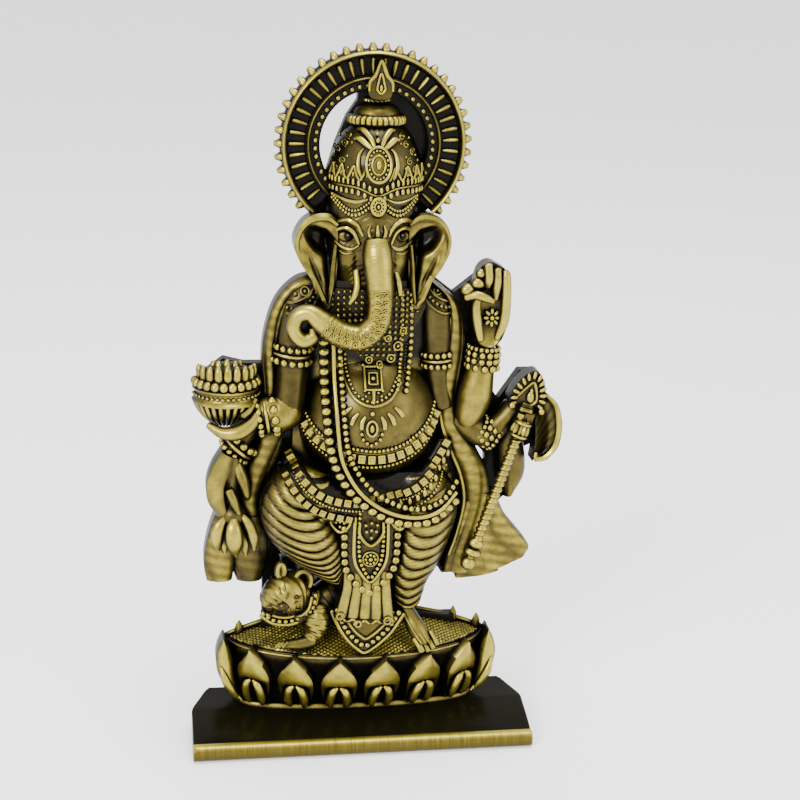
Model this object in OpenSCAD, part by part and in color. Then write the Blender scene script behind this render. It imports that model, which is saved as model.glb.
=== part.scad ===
// Four-armed elephant-headed figurine standing in flat-backed relief on a lotus seat
// and a wedge base. X runs across, -Y is the front, Z is up. Millimetres.

/* [Base] */
// Width of the base across its front
base_w = 69; // [66:1:76]
// Width of the base across its back
base_back_w = 62; // [58:1:66]
// Height of the base at its back edge
base_h = 6.6; // [6.2:0.1:7.4]
// Height of the rounded front rail
rail_h = 3.4; // [3:0.1:4]
// Thickness of the felt let into the underside
felt_t = 0.6; // [0.4:0.1:1]

/* [Lotus seat] */
// Half the width of the seat at its top
seat_half_w = 27; // [26:0.5:28]
// How far the top of the seat stands forward of the flat back
seat_depth = 13; // [12:0.5:14]
// Number of petals across the front
petal_count = 6; // [5:1:7]
// Distance from one front petal to the next
petal_pitch = 8.5; // [7.5:0.1:8.8]

/* [Halo] */
// Height of the centre of the halo above the table
halo_z = 121; // [120:0.5:122]
// Radius at the tips of the rays
halo_r = 19; // [18.5:0.1:19.5]
// Radius of the opening inside the halo
halo_hole_r = 10.2; // [9.8:0.1:10.4]
// Where the plate closes the opening behind the crown
crown_side_x = 3; // [2:0.5:5]
// Rays in a full turn
ray_count = 45; // [40:1:50]

/* [Figure] */
// Thickness of the back plate
plate_t = 2.5; // [2:0.1:2.5]
// Diameter of the pegs that hold the castings on the back plate
peg_d = 1.9; // [1.6:0.1:2]
// Radius of the round belly
belly_r = 15; // [14:0.5:15]

/* [Hidden] */
$fn = 48;
back_y = 4;
face_y = back_y - plate_t;
base_back_y = 4.6;
crease_y = -2.9;
crease_h = 5.8;
rail_y = -13.3;
rail_step = 0.4;
front_y = rail_y - rail_h / 2;
felt_inset = 1.6;
screw_x = 14;
screw_y = -0.8;
screw_seat = 3.2;
seat_back_z = 23.5;
seat_front_z = 18.6;
seat_x = -0.5;
peg_gap = 0.1;
torso_pegs = [[-6, 84], [7, 84], [0, 62]];
head_pegs = [[0, 104]];
halo_pegs = [[-14.5, 121], [14.5, 121], [0, 135.5]];
crown_pegs = [[0, 118]];
leg_pegs = [[-13, 48], [10, 42]];
rivets = [[-14, 17], [14, 17]];
brass = [0.72, 0.67, 0.38];
olive = [0.45, 0.4, 0.2];
dark = [0.16, 0.14, 0.09];

// ---------- building blocks ----------

// An outline drawn on the X-Z plane and carried forward from y_back to y_front
module relief(outline, y_back, y_front)
    translate([0, y_back, 0]) rotate([90, 0, 0])
        linear_extrude(y_back - y_front) polygon(outline);

// A disc or short rod whose axis runs along Y
module rod_y(x, z, r, y_back, y_front)
    translate([x, y_back, z]) rotate([90, 0, 0]) cylinder(h = y_back - y_front, r = r);

// A ball at [x, y, z] with the radius in the fourth place
module ball(p) translate([p[0], p[1], p[2]]) sphere(r = p[3], $fn = 18);

// A rounded limb through a list of balls
module limb(path)
    for (i = [0 : len(path) - 2]) hull() {
        ball(path[i]);
        ball(path[i + 1]);
    }

// Keeps only what lies in front of the face of the back plate
module on_plate()
    intersection() {
        children();
        translate([-60, -60, -5]) cube([120, 60 + face_y, 160]);
    }

// Round pegs behind a casting, which pass through the back plate
module pegs(places)
    for (p = places) rod_y(p[0], p[1], peg_d / 2, back_y - 0.2, face_y - 1);

function unit(v) = v / norm(v);

// Catmull-Rom point between path[i] and path[i + 1]
function between(path, i, t) =
    let (a = path[max(i - 1, 0)], b = path[i], c = path[i + 1], d = path[min(i + 2, len(path) - 1)])
    b + (c - a) * t / 2 + (2 * a - 5 * b + 4 * c - d) * t * t / 2
    + (3 * b - a - 3 * c + d) * t * t * t / 2;

// The path with two more points in each span, on a smooth curve
function smooth(path) = concat([for (i = [0 : len(path) - 2], k = [0 : 2]) between(path, i, k / 3)],
    [path[len(path) - 1]]);

function tangent(path, i) = unit(path[min(i + 1, len(path) - 1)] - path[max(i - 1, 0)]);

// A bent round cord of beads: an eight-sided tube swept along a smooth path
module bar(path, r, sides = 8) {
    way = smooth(path);
    rings = len(way);
    skin = [for (i = [0 : rings - 1]) let (t = tangent(way, i), u = unit(cross(t, [0, 1, 0])),
        v = cross(t, u)) for (k = [0 : sides - 1])
        way[i] + r * (cos(360 * k / sides) * u + sin(360 * k / sides) * v)];
    polyhedron(skin, concat([[for (k = [0 : sides - 1]) k]],
        [for (i = [0 : rings - 2], k = [0 : sides - 1])
            let (a = i * sides + k, b = i * sides + (k + 1) % sides) [a, a + sides, b + sides, b]],
        [[for (k = [sides - 1 : -1 : 0]) (rings - 1) * sides + k]]));
}

// A straight rod from a to b
module rod(a, b, r) {
    d = b - a;
    translate(a) rotate([0, acos(d[2] / norm(d)), atan2(d[1], d[0])])
        cylinder(h = norm(d), r = r, $fn = 24);
}

// Points of an ellipse arc in the X-Z plane at depth y, from angle a0 to a1
function arc_xz(cx, cz, rx, rz, y, a0, a1, n) =
    [for (i = [0 : n]) let (a = a0 + (a1 - a0) * i / n) [cx + rx * cos(a), y, cz + rz * sin(a)]];

// ---------- base ----------

module base_plan(inset)
    polygon([[-base_w / 2 + inset, front_y - 1 + inset], [base_w / 2 - inset, front_y - 1 + inset],
        [base_w / 2 - inset, crease_y], [base_back_w / 2 - inset, base_back_y - inset],
        [-base_back_w / 2 + inset, base_back_y - inset], [-base_w / 2 + inset, crease_y]]);

module base_solid() {
    intersection() {
        linear_extrude(base_h + 1) base_plan(0);
        translate([-base_w / 2 - 1, 0, 0]) rotate([90, 0, 90]) linear_extrude(base_w + 2)
            polygon([[base_back_y, 0], [rail_y, 0], [rail_y, rail_h - rail_step],
                [crease_y, crease_h], [base_back_y, base_h]]);
    }
    translate([-base_w / 2, rail_y, rail_h / 2]) rotate([0, 90, 0])
        cylinder(h = base_w, r = rail_h / 2);
}

module felt_solid(inset)
    intersection() {
        translate([0, 0, -1]) linear_extrude(1 + felt_t) base_plan(felt_inset + inset);
        translate([-60, rail_y + 0.5 + inset, -2]) cube([120, 60, 10]);
    }

module base_plate()
    color(dark) difference() {
        base_solid();
        felt_solid(0);
        for (s = [-1, 1]) translate([s * screw_x, screw_y, 0]) {
            cylinder(h = screw_seat, d = 6.4);
            cylinder(h = 10, d = 3.3);
        }
    }

module felt_pad()
    color([0.1, 0.2, 0.12]) intersection() {
        felt_solid(0.15);
        translate([-60, -60, 0]) cube([120, 120, 5]);
    }

module base_screws()
    color([0.75, 0.75, 0.72]) for (s = [-1, 1]) translate([s * screw_x, screw_y, 0]) {
        difference() {
            translate([0, 0, screw_seat - 2]) cylinder(h = 2, d = 6);
            for (a = [0, 90]) rotate([0, 0, a])
                translate([-1.6, -0.35, screw_seat - 2.5]) cube([3.2, 0.7, 1.5]);
        }
        translate([0, 0, screw_seat]) cylinder(h = 9, d = 2.9);
    }

// ---------- lotus seat ----------

// Half-round plan of the seat: flat at the back, bulging forward by depth
function seat_plan(half_w, depth, power) =
    [for (a = [0 : 7.5 : 180]) [seat_x + half_w * cos(a), back_y - depth * pow(sin(a), power)]];

module seat_body()
    hull() {
        translate([0, 0, 4.6]) linear_extrude(0.1)
            polygon(seat_plan(seat_half_w - 4, 7.6, 0.45));
        translate([0, 0, 13]) linear_extrude(0.1)
            polygon(seat_plan(seat_half_w - 1, seat_depth - 2.4, 0.8));
        multmatrix([[1, 0, 0, 0], [0, 1, 0, 0],
            [0, (seat_back_z - seat_front_z) / seat_depth, 1, seat_back_z - 2], [0, 0, 0, 1]])
            linear_extrude(0.1) polygon(seat_plan(seat_half_w, seat_depth, 1));
    }

module seat_core()
    color(dark) difference() {
        seat_body();
        base_solid();
        foot_ring(0);
        translate([seat_x - 40, face_y, 12]) cube([80, 10, 20]);
        for (s = [-1, 1]) translate([s * screw_x, screw_y, 0]) cylinder(h = 12.6, d = 2.9);
        for (p = rivets) rod_y(p[0], p[1], 1, 5, -5);
    }

module foot_ring(grow)
    difference() {
        translate([0, 0, 4]) linear_extrude(3.2)
            polygon(seat_plan(seat_half_w - 2.6 + grow, 8.8, 0.4));
        translate([0, 0, 3]) linear_extrude(6)
            polygon(seat_plan(seat_half_w - 4.6, 6.8, 0.4));
    }

module seat_foot()
    color(olive) difference() {
        foot_ring(0);
        base_solid();
    }

// A pointed petal, foot at the origin, tip up
module petal_plate(w, h, t)
    translate([0, t, 0]) rotate([90, 0, 0]) linear_extrude(2 * t) polygon([[-w * 0.62, 0], [-w * 0.86, h * 0.2],
        [-w, h * 0.42], [-w * 0.93, h * 0.58], [-w * 0.62, h * 0.77], [0, h],
        [w * 0.62, h * 0.77], [w * 0.93, h * 0.58], [w, h * 0.42], [w * 0.86, h * 0.2],
        [w * 0.62, 0]]);

// Depth of the seat front at a distance x from its middle, at the top of the seat
function seat_front(x) = back_y - seat_depth * sqrt(1 - pow(min(abs(x), 26) / 27, 2));

module front_petals()
    color(brass) difference() {
        for (i = [0 : petal_count - 1]) {
            x = (i - (petal_count - 1) / 2) * petal_pitch;
            foot_y = -4.6 + pow(x / 13, 2);
            lean = atan((foot_y - seat_front(x)) / 12);
            translate([seat_x + x * 0.98, foot_y, 7.3]) rotate([lean, 0, asin(x / 40)])
                petal_plate(3.3, 14, 1.3);
        }
        seat_body();
        foot_ring(0.2);
        base_solid();
    }

module outer_petals()
    color(brass) {
        difference() {
            for (s = [-1, 1]) hull() {
                ball([seat_x + s * 24, -1, 8.5, 1.2]);
                ball([seat_x + s * 27, -1.6, 16, 1.9]);
                ball([seat_x + s * 26.6, -1.2, 24, 0.8]);
            }
            seat_body();
            foot_ring(0.2);
            translate([-60, back_y, 0]) cube([120, 10, 60]);
        }
        for (x = [-25, -19, 18.5, 24]) translate([x, 2.6, seat_back_z + 0.5 - pow(x / 24, 2)])
            cylinder(h = 2.6, r1 = 1.3, r2 = 0.3);
    }

// ---------- back plate ----------

module body_outline()
    polygon([[-20, 12], [20, 12], [20, 22.5], [12, 24], [12, 28], [16, 34], [17, 32.5],
        [25, 32.5], [33, 37], [32, 41], [27, 47], [32, 52], [31, 59], [38, 62], [39, 67],
        [36, 71], [34, 76], [31, 76], [27, 70], [25, 73], [26, 94], [25, 97], [22, 96],
        [17, 92], [13, 95], [10, 100], [8, 115], [-8, 115], [-10, 100], [-11, 95],
        [-16, 92], [-19, 84], [-20, 78], [-24, 78], [-28, 79], [-32, 76], [-31, 68],
        [-26, 65], [-30, 56], [-29, 48], [-30, 40], [-30, 35], [-20, 34], [-20, 24],
        [-20, 22]]);

module back_plate()
    color(dark) difference() {
        translate([0, back_y, 0]) rotate([90, 0, 0]) linear_extrude(plate_t) difference() {
            union() {
                body_outline();
                translate([0, halo_z]) circle(r = halo_r - 2.2, $fn = 96);
                polygon([[-20, 12], [20, 12], [20, 23], [-20, 23]]);
            }
            difference() {
                // The opening beside the crown; the plate closes it from crown_side_x rightwards
                translate([0, halo_z]) difference() {
                    circle(r = halo_hole_r, $fn = 96);
                    translate([crown_side_x, -20]) square([20, 40]);
                }
                polygon([[-9, 90], [9, 90], [9, 114], [7, 121], [5, 126], [3, 129], [2, 140],
                    [-2, 140], [-3, 129], [-5, 126], [-7, 121], [-9, 114]]);
            }
            polygon([[20.5, 63], [24.8, 58.5], [25, 56.5], [23, 57.5]]);
            polygon([[-16.5, 37], [-16, 40.5], [-12.5, 37.5]]);
            translate([-9.9, 33]) circle(r = 1.4);
            polygon([[-19, 63], [-16.5, 63], [-19, 58], [-21, 52], [-22.5, 52], [-21, 58]]);
        }
        for (p = concat(torso_pegs, head_pegs, halo_pegs, crown_pegs, leg_pegs, rivets))
            rod_y(p[0], p[1], peg_d / 2 + peg_gap / 2, 6, -2);
    }

module plate_rivets()
    color([0.6, 0.56, 0.34]) for (p = rivets) {
        rod_y(p[0], p[1], peg_d / 2, back_y + 0.05, -4.6);
        rod_y(p[0], p[1], 1.7, back_y + 0.6, back_y);
    }

// ---------- halo ----------

// The halo stops behind the ears: this wedge takes its lower quarter away
module halo_gap(y_back, y_front)
    relief([[0, halo_z], [-26, halo_z - 25], [26, halo_z - 25]], y_back, y_front);

module ring_y(r_out, r_in, y_back, y_front)
    difference() {
        translate([0, y_back, halo_z]) rotate([90, 0, 0])
            cylinder(h = y_back - y_front, r = r_out, $fn = 96);
        translate([0, y_back + 1, halo_z]) rotate([90, 0, 0])
            cylinder(h = y_back - y_front + 2, r = r_in, $fn = 96);
        halo_gap(y_back + 1, y_front - 1);
    }

module halo_plate()
    color(dark) {
        ring_y(halo_r - 1.9, halo_hole_r, face_y, face_y - 2.6);
        pegs(halo_pegs);
    }

module halo_rings()
    color(brass) {
        ring_y(halo_r - 1.8, halo_r - 2.5, face_y - 2.6, face_y - 4);
        ring_y(12.7, 12.1, face_y - 2.6, face_y - 3.6);
    }

// Angles of the rays and spokes that the halo keeps
function halo_angles() = [for (i = [0 : ray_count - 1]) let (a = 360 * (i + 0.5) / ray_count)
    if (abs(a - 270) > 48) a];

module halo_rays()
    color(brass) for (a = halo_angles())
        translate([(halo_r - 1.9) * cos(a), -0.1, halo_z + (halo_r - 1.9) * sin(a)])
            rotate([0, 90 - a, 0]) cylinder(h = 1.9, r1 = 0.95, r2 = 0.45, $fn = 16);

module halo_spokes()
    color(brass) for (a = halo_angles())
        translate([0, face_y - 2.6, halo_z]) rotate([0, 90 - a, 0])
            translate([-0.35, -0.9, 13.1]) cube([0.7, 0.9, 2.9]);

module halo_beads()
    color(brass) for (a = halo_angles())
        rod_y(11.2 * cos(a), halo_z + 11.2 * sin(a), 0.5, face_y - 2.6, face_y - 3.4);

// ---------- crown ----------

module crown_dome()
    color(olive) {
        on_plate() translate([0, 1.5, 0]) rotate_extrude()
            polygon([[0, 111], [8.6, 111], [9, 114], [8.7, 117], [7.9, 120], [6.6, 123],
                [5.4, 124.8], [0, 124.8]]);
        pegs(crown_pegs);
    }

module crown_cap()
    color(brass) on_plate() translate([0, 1.5, 0]) rotate_extrude()
        polygon([[0, 124.8], [5, 124.8], [5.5, 125.3], [5.5, 126.6], [5, 127.1], [4.4, 127.4],
            [3.6, 128.6], [2.4, 129.3], [2.5, 130.2], [0, 130.2]]);

module crown_finial()
    color(brass) on_plate() translate([0, 0.4, 0]) rotate_extrude()
        polygon([[0, 130.2], [1.4, 130.2], [1.9, 131.4], [1.7, 132.8], [0.9, 134.6],
            [0.5, 136.2], [0, 136.4]]);

module crown_crest()
    color(brass) {
        relief([for (a = [0 : 15 : 345]) [2.5 * cos(a), 118.3 + 3.3 * sin(a)]], -6.9, -8.9);
        for (s = [-1, 1], a = [22, 48])
            translate([s * 0.8, -6.6, 121.6]) rotate([0, s * a, 0])
                translate([-0.5, -1, 0]) cube([1, 1.6, 3.2 - a / 30]);
    }

module crown_bead_rows()
    color(brass) for (row = [[112.7, 8.8, 19], [114.7, 9, 17]])
        for (i = [0 : row[2] - 1]) let (a = 8 + 164 * i / (row[2] - 1))
            translate([row[1] * cos(a), 1.3 - row[1] * sin(a), row[0]]) sphere(r = 0.62, $fn = 16);

module forehead_chains()
    color(brass) {
        relief([for (a = [0 : 15 : 345]) [1.3 * cos(a), 109.8 + 1.7 * sin(a)]], -7.4, -9.4);
        for (s = [-1, 1], i = [0 : 8]) let (t = i / 8)
            translate([s * (1.6 + 5.6 * t), -8.2 + 2.6 * t * t, 110.4 - 2 * sin(180 * t) + 0.8 * t])
                sphere(r = 0.5, $fn = 16);
    }

module forehead_mark()
    color(brass) {
        for (x = [-1.2, 0, 1.2]) relief([[x - 0.3, 103.6], [x + 0.3, 103.6], [x + 0.3, 106],
            [x - 0.3, 106]], -8.6, -9.8);
        relief([[-1.5, 102.8], [1.5, 102.8], [1.5, 103.6], [-1.5, 103.6]], -8.6, -9.6);
    }

// ---------- head ----------

module head()
    color(olive) {
        on_plate() {
            hull() {
                ball([0, 1.2, 108.5, 8.8]);
                ball([-1, 0.5, 100, 7.4]);
                ball([1, 0.5, 100, 7.4]);
            }
            limb([[0, -4, 107, 4.2], [0.2, -5, 96, 3.6]]);
        }
        pegs(head_pegs);
    }

module eyes()
    color(brass) for (x = [-5.2, 5.2])
        translate([x, -6.5, 104.6]) rotate([0, 0, -x * 4]) scale(0.9) {
            sphere(r = 1.5, $fn = 24);
            rod_y(0, 0, 2.2, 1.2, 0.2);
        }

module left_ear()
    color(olive) relief([[-7.6, 108.6], [-11, 109], [-13.8, 106.6], [-15, 103], [-14, 99],
        [-11.4, 95], [-9, 92], [-8.3, 90.8], [-7.6, 92], [-7.6, 96], [-7.2, 100]], 0.5, -4.6);

module right_ear()
    color(olive) relief([[7.6, 108.6], [11, 108.8], [13.8, 106.2], [14.6, 102.8], [13.2, 98.6],
        [10.6, 94.8], [9.2, 91.6], [8.6, 90.6], [7.6, 92], [7.4, 96], [7.2, 100]], 0.5, -4.6);

module trunk()
    color(brass) {
        limb([[0.3, -8.2, 104, 2], [0.6, -8.6, 98, 2.5], [1, -8.8, 91, 2.5],
            [0, -8.8, 86.6, 2.4], [-3, -8.6, 84.6, 2.3], [-7, -8, 86, 2.1], [-10.2, -7.4, 88.4, 1.8]]);
        difference() {
            rod_y(-12.9, 88.2, 3.6, -3.6, -8.6);
            rod_y(-12.9, 88.4, 0.9, -3, -9);
        }
    }

module tusks()
    color([0.8, 0.76, 0.5]) {
        limb([[-3.8, -6.6, 98, 1], [-4.1, -7.4, 94.5, 0.9], [-5, -8, 92, 0.5]]);
        limb([[4.4, -6.6, 97, 1], [5, -7.4, 93.6, 0.6]]);
    }

// ---------- torso and its ornaments ----------

module torso()
    color(olive) {
        on_plate() {
            translate([0.6, face_y + 2.2, 67.5]) sphere(r = belly_r, $fn = 96);
            relief([[-11, 76], [11.5, 76], [12, 86], [10.5, 93.5], [6, 95.5], [-6, 95.5],
                [-10.5, 93.5], [-12, 86]], face_y, -4.6);
            relief([[-14.5, 55], [16, 55], [15, 77], [-13.5, 77]], face_y, -2.5);
        }
        pegs(torso_pegs);
    }

module collar()
    color(dark) difference() {
        relief([[-8.5, 94], [-8.5, 89], [-5, 83], [-1, 78.5], [3, 78.5], [7, 83], [10, 88],
            [10, 94]], -4.6, -5.6);
        trunk_space();
    }

module trunk_space()
    limb([[0.6, -8.6, 98, 2.6], [1, -8.8, 91, 2.6], [0, -8.8, 86.6, 2.5], [-3, -8.6, 84.6, 2.4]]);

module pendant()
    color(brass) {
        bar(arc_xz(0.4, 79, 6.6, 7.6, -10.9, 205, 335, 8), 0.5);
        relief([[-1.3, 74], [2.1, 74], [2.1, 77.4], [-1.3, 77.4]], -8, -11.2);
        relief([[-0.8, 64], [1.4, 64], [1.7, 66.4], [0.3, 70.6], [-1.1, 66.4]], -10, -12);
        for (a = [-62, -38, 38, 62]) translate([0.3, -11, 71.2]) rotate([0, a + 180, 0])
            translate([0, 0, 1]) cylinder(h = 4, r1 = 0.45, r2 = 0.8, $fn = 16);
    }

module garland()
    color(brass) {
        bar([[-8.4, -5.6, 83.6], [-8.2, -6.4, 76], [-7.6, -9.8, 69], [-6.8, -8.7, 61],
            [-3.6, -8.6, 55], [1, -9.8, 51.4], [7, -9, 49.6], [13, -9.6, 50.4],
            [18, -5.6, 54]], 1.1);
        bar([[-5.6, -5.3, 83.4], [-5.4, -7.9, 76], [-4.9, -10.9, 69], [-4.2, -10.2, 62],
            [-1.6, -8.6, 57], [3, -9, 53.6], [8, -9, 52], [13, -9.4, 52.6],
            [17.4, -6, 56]], 0.65);
    }

module side_strand()
    color(brass) bar([[6.4, -6.3, 92.4], [6.6, -5.5, 82], [6.4, -7.8, 76], [5.4, -10, 72.4]], 0.7);

module belly_belt()
    color(brass) for (dz = [0, -2.7, -4.6])
        bar([for (i = [-4 : 4]) let (x = 0.6 + i * 3.3) [x, -10.9 + pow(i, 2) * 0.42,
            65.2 + dz + pow(i + 0.6, 2) * 0.36]], dz == -2.7 ? 1.1 : 0.55);

module waist_belt()
    color(brass) {
        bar([[-14.6, -4, 60.6], [-12, -8.6, 56.4], [-8, -9, 53], [-3, -8.4, 50.6],
            [2, -7.6, 51.4], [8, -6.8, 54], [13, -5, 57.4], [16.4, -3.6, 61.6]], 1.2);
    }

// ---------- legs and clothing ----------

module left_leg()
    color(brass) {
        on_plate() hull() {
            ball([-15, -4, 53.5, 6]);
            ball([-12, -5.6, 46.5, 6.2]);
            ball([-7, -3, 38.5, 4]);
            ball([-7, -2, 52, 5]);
        }
        pegs([leg_pegs[0]]);
    }

module right_leg()
    color(brass) {
        on_plate() {
            hull() {
                ball([12, -2.6, 49, 6.2]);
                ball([6, -2.4, 50, 5.4]);
                ball([9, -3, 34, 4.6]);
            }
            hull() {
                ball([9, -3, 34, 4.6]);
                ball([8.4, -3, 29.6, 3]);
            }
        }
        pegs([leg_pegs[1]]);
    }

module right_foot()
    color(brass) difference() {
        limb([[9.4, -4.2, 27, 1.7], [11, -6, 24, 1.5], [12.8, -7.4, 21.8, 1.3]]);
        seat_body();
    }

module apron()
    color(olive) relief([[-4, 50.5], [5.8, 50.5], [6.2, 38], [4, 35.6], [1, 33], [-2.2, 35.4],
        [-4.4, 38]], -6.8, -9.4);

module pleats()
    color(brass) relief([[-4.6, 36], [3.6, 36], [4.6, 28.4], [1.4, 28.8], [-1.6, 28.8],
        [-5.6, 31], [-6, 33.6]], -2, -8);

module hem_cloth()
    color(brass) difference() {
        relief([[-6, 30.6], [-4.8, 25.6], [-2.4, 22.4], [-0.2, 21], [3, 22.6], [6.6, 26],
            [6.9, 28.4], [4.6, 30]], face_y, -9.2);
        seat_body();
        right_foot_space();
    }

module right_foot_space() limb([[9.4, -4.2, 27, 1.75], [11, -6, 24, 1.55]]);

// ---------- arms ----------

module left_upper_arm()
    color(olive) on_plate() limb([[-13.8, -1, 91, 3.4], [-14.8, -1.6, 84, 3.3],
        [-14.8, -2.2, 76, 3.1], [-15, -2.6, 71.4, 3.2]]);

module right_upper_arm()
    color(olive) on_plate() limb([[13, -1, 91, 3.3], [13.4, -1.6, 84, 3.2],
        [13.6, -1.6, 74, 2.8]]);

// A cuff of rounded bars across a limb
module cuff(x, y, z, half_w, h, turn)
    translate([x, y, z]) rotate([0, turn, 0])
        for (dz = [-h / 2, 0, h / 2]) rod([-half_w, 0, dz], [half_w, 0, dz], h * 0.3);

module armlets()
    color(brass) {
        cuff(-15, -5.2, 81.4, 3, 2.6, 8);
        cuff(13.8, -4.9, 80.2, 2.2, 2.4, -8);
    }

module bracelets()
    color(brass) {
        cuff(-20.2, -5.6, 69.8, 3.2, 2.6, 82);
        cuff(-25.6, -3.6, 62.6, 2.8, 2.8, 50);
        cuff(22.4, -5.4, 81.2, 2.8, 2.8, 4);
        cuff(24.2, -5.6, 64.2, 2.3, 2.4, -50);
    }

module bowl_arm()
    color(brass) on_plate() limb([[-16, -2.8, 70, 3.4], [-21, -3, 69.6, 2.6],
        [-24.6, -3.4, 68, 1.6], [-27, -3.8, 66.9, 0.9]]);

module bowl()
    color(brass) difference() {
        on_plate() translate([-27.4, -1.2, 0]) rotate_extrude()
            polygon([[0, 66.4], [1.8, 66.6], [3.6, 68.2], [5.2, 70.6], [6, 73], [6.3, 73.2],
                [6.3, 75.8], [5.6, 75.8], [5.2, 74.6], [0, 74.6]]);
        limb([[-21, -3, 69.6, 2.65], [-24.6, -3.4, 68, 1.65], [-27, -3.8, 66.9, 0.95]]);
    }

module sweets()
    color(brass) on_plate() {
        intersection() {
            translate([-27.4, -1.2, 73]) sphere(r = 7, $fn = 64);
            translate([-27.4, -1.2, 74.6]) cylinder(h = 8, r = 5.15);
        }
        for (a = [200 : 28 : 340]) translate([-27.4 + 4.4 * cos(a), -1.2 + 4.4 * sin(a), 77])
            sphere(r = 1.15, $fn = 20);
    }

module lotus_arm()
    color(olive) on_plate() limb([[-23.4, -0.6, 65.4, 2], [-26, -1, 61, 2.6],
        [-28.2, -1.6, 55, 3.2], [-26.6, -1.8, 50, 2.4]]);

module lotus_bud()
    color(brass) for (p = [[-29.8, 12], [-27.6, 3], [-25, -6], [-22.6, -20]])
        translate([p[0], -3.4, 49]) rotate([0, p[1], 0]) translate([0, 0, -9]) hull() {
            cylinder(h = 0.2, r = 0.3, $fn = 16);
            translate([0, 0, 5]) cylinder(h = 3.6, r = 1.05, $fn = 16);
        }

module left_shawl()
    color(brass) {
        relief([[-10.6, 96], [-14, 95], [-17.6, 91.4], [-19.6, 86], [-20.6, 79], [-20, 73],
            [-18.6, 73], [-18.8, 80], [-17.8, 86], [-15.6, 90.4], [-11.4, 93]], face_y, -5);
        relief([[-19.8, 66], [-16.8, 66], [-18.6, 59], [-21, 52], [-20.4, 46], [-19.6, 40],
            [-20.4, 35.4], [-25, 36], [-30.6, 36], [-31.6, 37], [-31, 42], [-29, 46.6],
            [-24.4, 47], [-24, 52], [-22, 59]], face_y, -2.2);
    }

module right_shawl()
    color(brass) relief([[11, 96], [16, 91.6], [16.6, 84], [18.4, 78], [17.2, 70], [19.4, 63],
        [22.6, 57], [24.6, 51], [26.6, 47.6], [28.8, 44], [32.4, 41], [33.2, 38.8],
        [31, 36.6], [24.6, 33.6], [20.6, 33.4], [17, 34.4], [16.4, 37], [17, 46],
        [17.6, 56], [15.6, 62], [13.4, 70], [14, 78], [15.4, 84], [14.4, 90], [10.6, 93]],
        face_y, -4.6);

module raised_arm()
    color(brass) on_plate() limb([[19.4, -3, 68, 2.6], [20.8, -3, 74, 3.4],
        [22.2, -3, 81, 2.5]]);

module raised_hand()
    color(brass) on_plate() {
        relief([[20.4, 83.6], [24.4, 83.6], [26, 88], [26, 94], [19.8, 94.6], [19.6, 89]],
            face_y, -5.6);
        limb([[25.2, -3, 93, 1], [25, -3, 98, 0.85]]);
        limb([[23.6, -3.4, 93, 1], [23.2, -3.4, 99, 0.85]]);
        limb([[21.8, -3.6, 93.6, 0.95], [21.4, -3.2, 98, 0.8]]);
        limb([[20.4, -3.6, 92.6, 1], [17.6, -2.8, 95, 0.9]]);
        rod_y(23, 89.6, 1.8, -5.6, -6.4);
    }

module axe_arm()
    color(olive) on_plate() {
        limb([[19.8, -2.6, 66.6, 2.8], [24.6, -3, 63.8, 2.1], [28, -2.4, 68, 2]]);
        limb([[29, -1.4, 66, 2.2], [30, -1.4, 56, 2.6], [29, -1.4, 52.6, 2]]);
    }

module axe_handle()
    color(brass) {
        rod([30.2, -5.4, 66.6], [22.2, -5.4, 41.6], 0.95);
        for (k = [[22.7, 43, 1.5], [22, 40.8, 1.3], [21.5, 39, 1.4]])
            translate([k[0], -5.4, k[1]]) sphere(r = k[2], $fn = 32);
    }

module axe_head()
    color(olive) {
        relief([[27.6, 70.4], [28.4, 73.6], [31, 77], [33.4, 77.6], [34.8, 75], [35.6, 72],
            [32, 68.6], [29.4, 67.6]], face_y, -5.2);
        difference() {
            relief([[32.4, 68.4], [35, 72.6], [37.6, 70.4], [39, 66.4], [38.6, 62.4],
                [36.4, 59.6], [33.2, 59], [33.8, 61.4], [32.6, 64], [31.6, 65]], face_y, -4.4);
            rod([30.2, -5.4, 66.6], [22.2, -5.4, 41.6], 1);
        }
    }

// ---------- mouse ----------

module mouse_body()
    color(olive) difference() {
        union() {
            hull() {
                ball([-7, -1.6, 29, 3]);
                ball([-12, -2.6, 27, 3.4]);
                ball([-11, -5, 25, 2]);
            }
            limb([[-11, -5.6, 26, 1.9], [-11.4, -7, 22.8, 1.4], [-15.4, -7.2, 22.2, 1]]);
        }
        seat_body();
        translate([-60, face_y, 0]) cube([120, 20, 60]);
    }

module mouse_head()
    color(brass) difference() {
        union() {
            hull() {
                ball([-16.6, -4.4, 33, 4.2]);
                ball([-17, -6.8, 31, 2.6]);
            }
            rod_y(-17.2, 38, 1.3, -1.4, -3.4);
            rod_y(-13.2, 35.6, 2, -3.4, -6);
        }
        translate([-60, face_y, 0]) cube([120, 20, 60]);
    }

module mouse_collar()
    color(brass) bar(arc_xz(-15.4, 31.6, 5.2, 5.6, -5.4, 235, 345, 6), 0.8);

base_plate();
felt_pad();
base_screws();
seat_core();
seat_foot();
front_petals();
outer_petals();
back_plate();
plate_rivets();
halo_plate();
halo_rings();
halo_rays();
halo_spokes();
halo_beads();
crown_dome();
crown_cap();
crown_finial();
crown_crest();
crown_bead_rows();
forehead_chains();
forehead_mark();
head();
eyes();
left_ear();
right_ear();
trunk();
tusks();
torso();
collar();
pendant();
garland();
side_strand();
belly_belt();
waist_belt();
left_leg();
right_leg();
right_foot();
apron();
pleats();
hem_cloth();
left_upper_arm();
right_upper_arm();
armlets();
bracelets();
bowl_arm();
bowl();
sweets();
lotus_arm();
lotus_bud();
left_shawl();
right_shawl();
raised_arm();
raised_hand();
axe_arm();
axe_handle();
axe_head();
mouse_body();
mouse_head();
mouse_collar();
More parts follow.
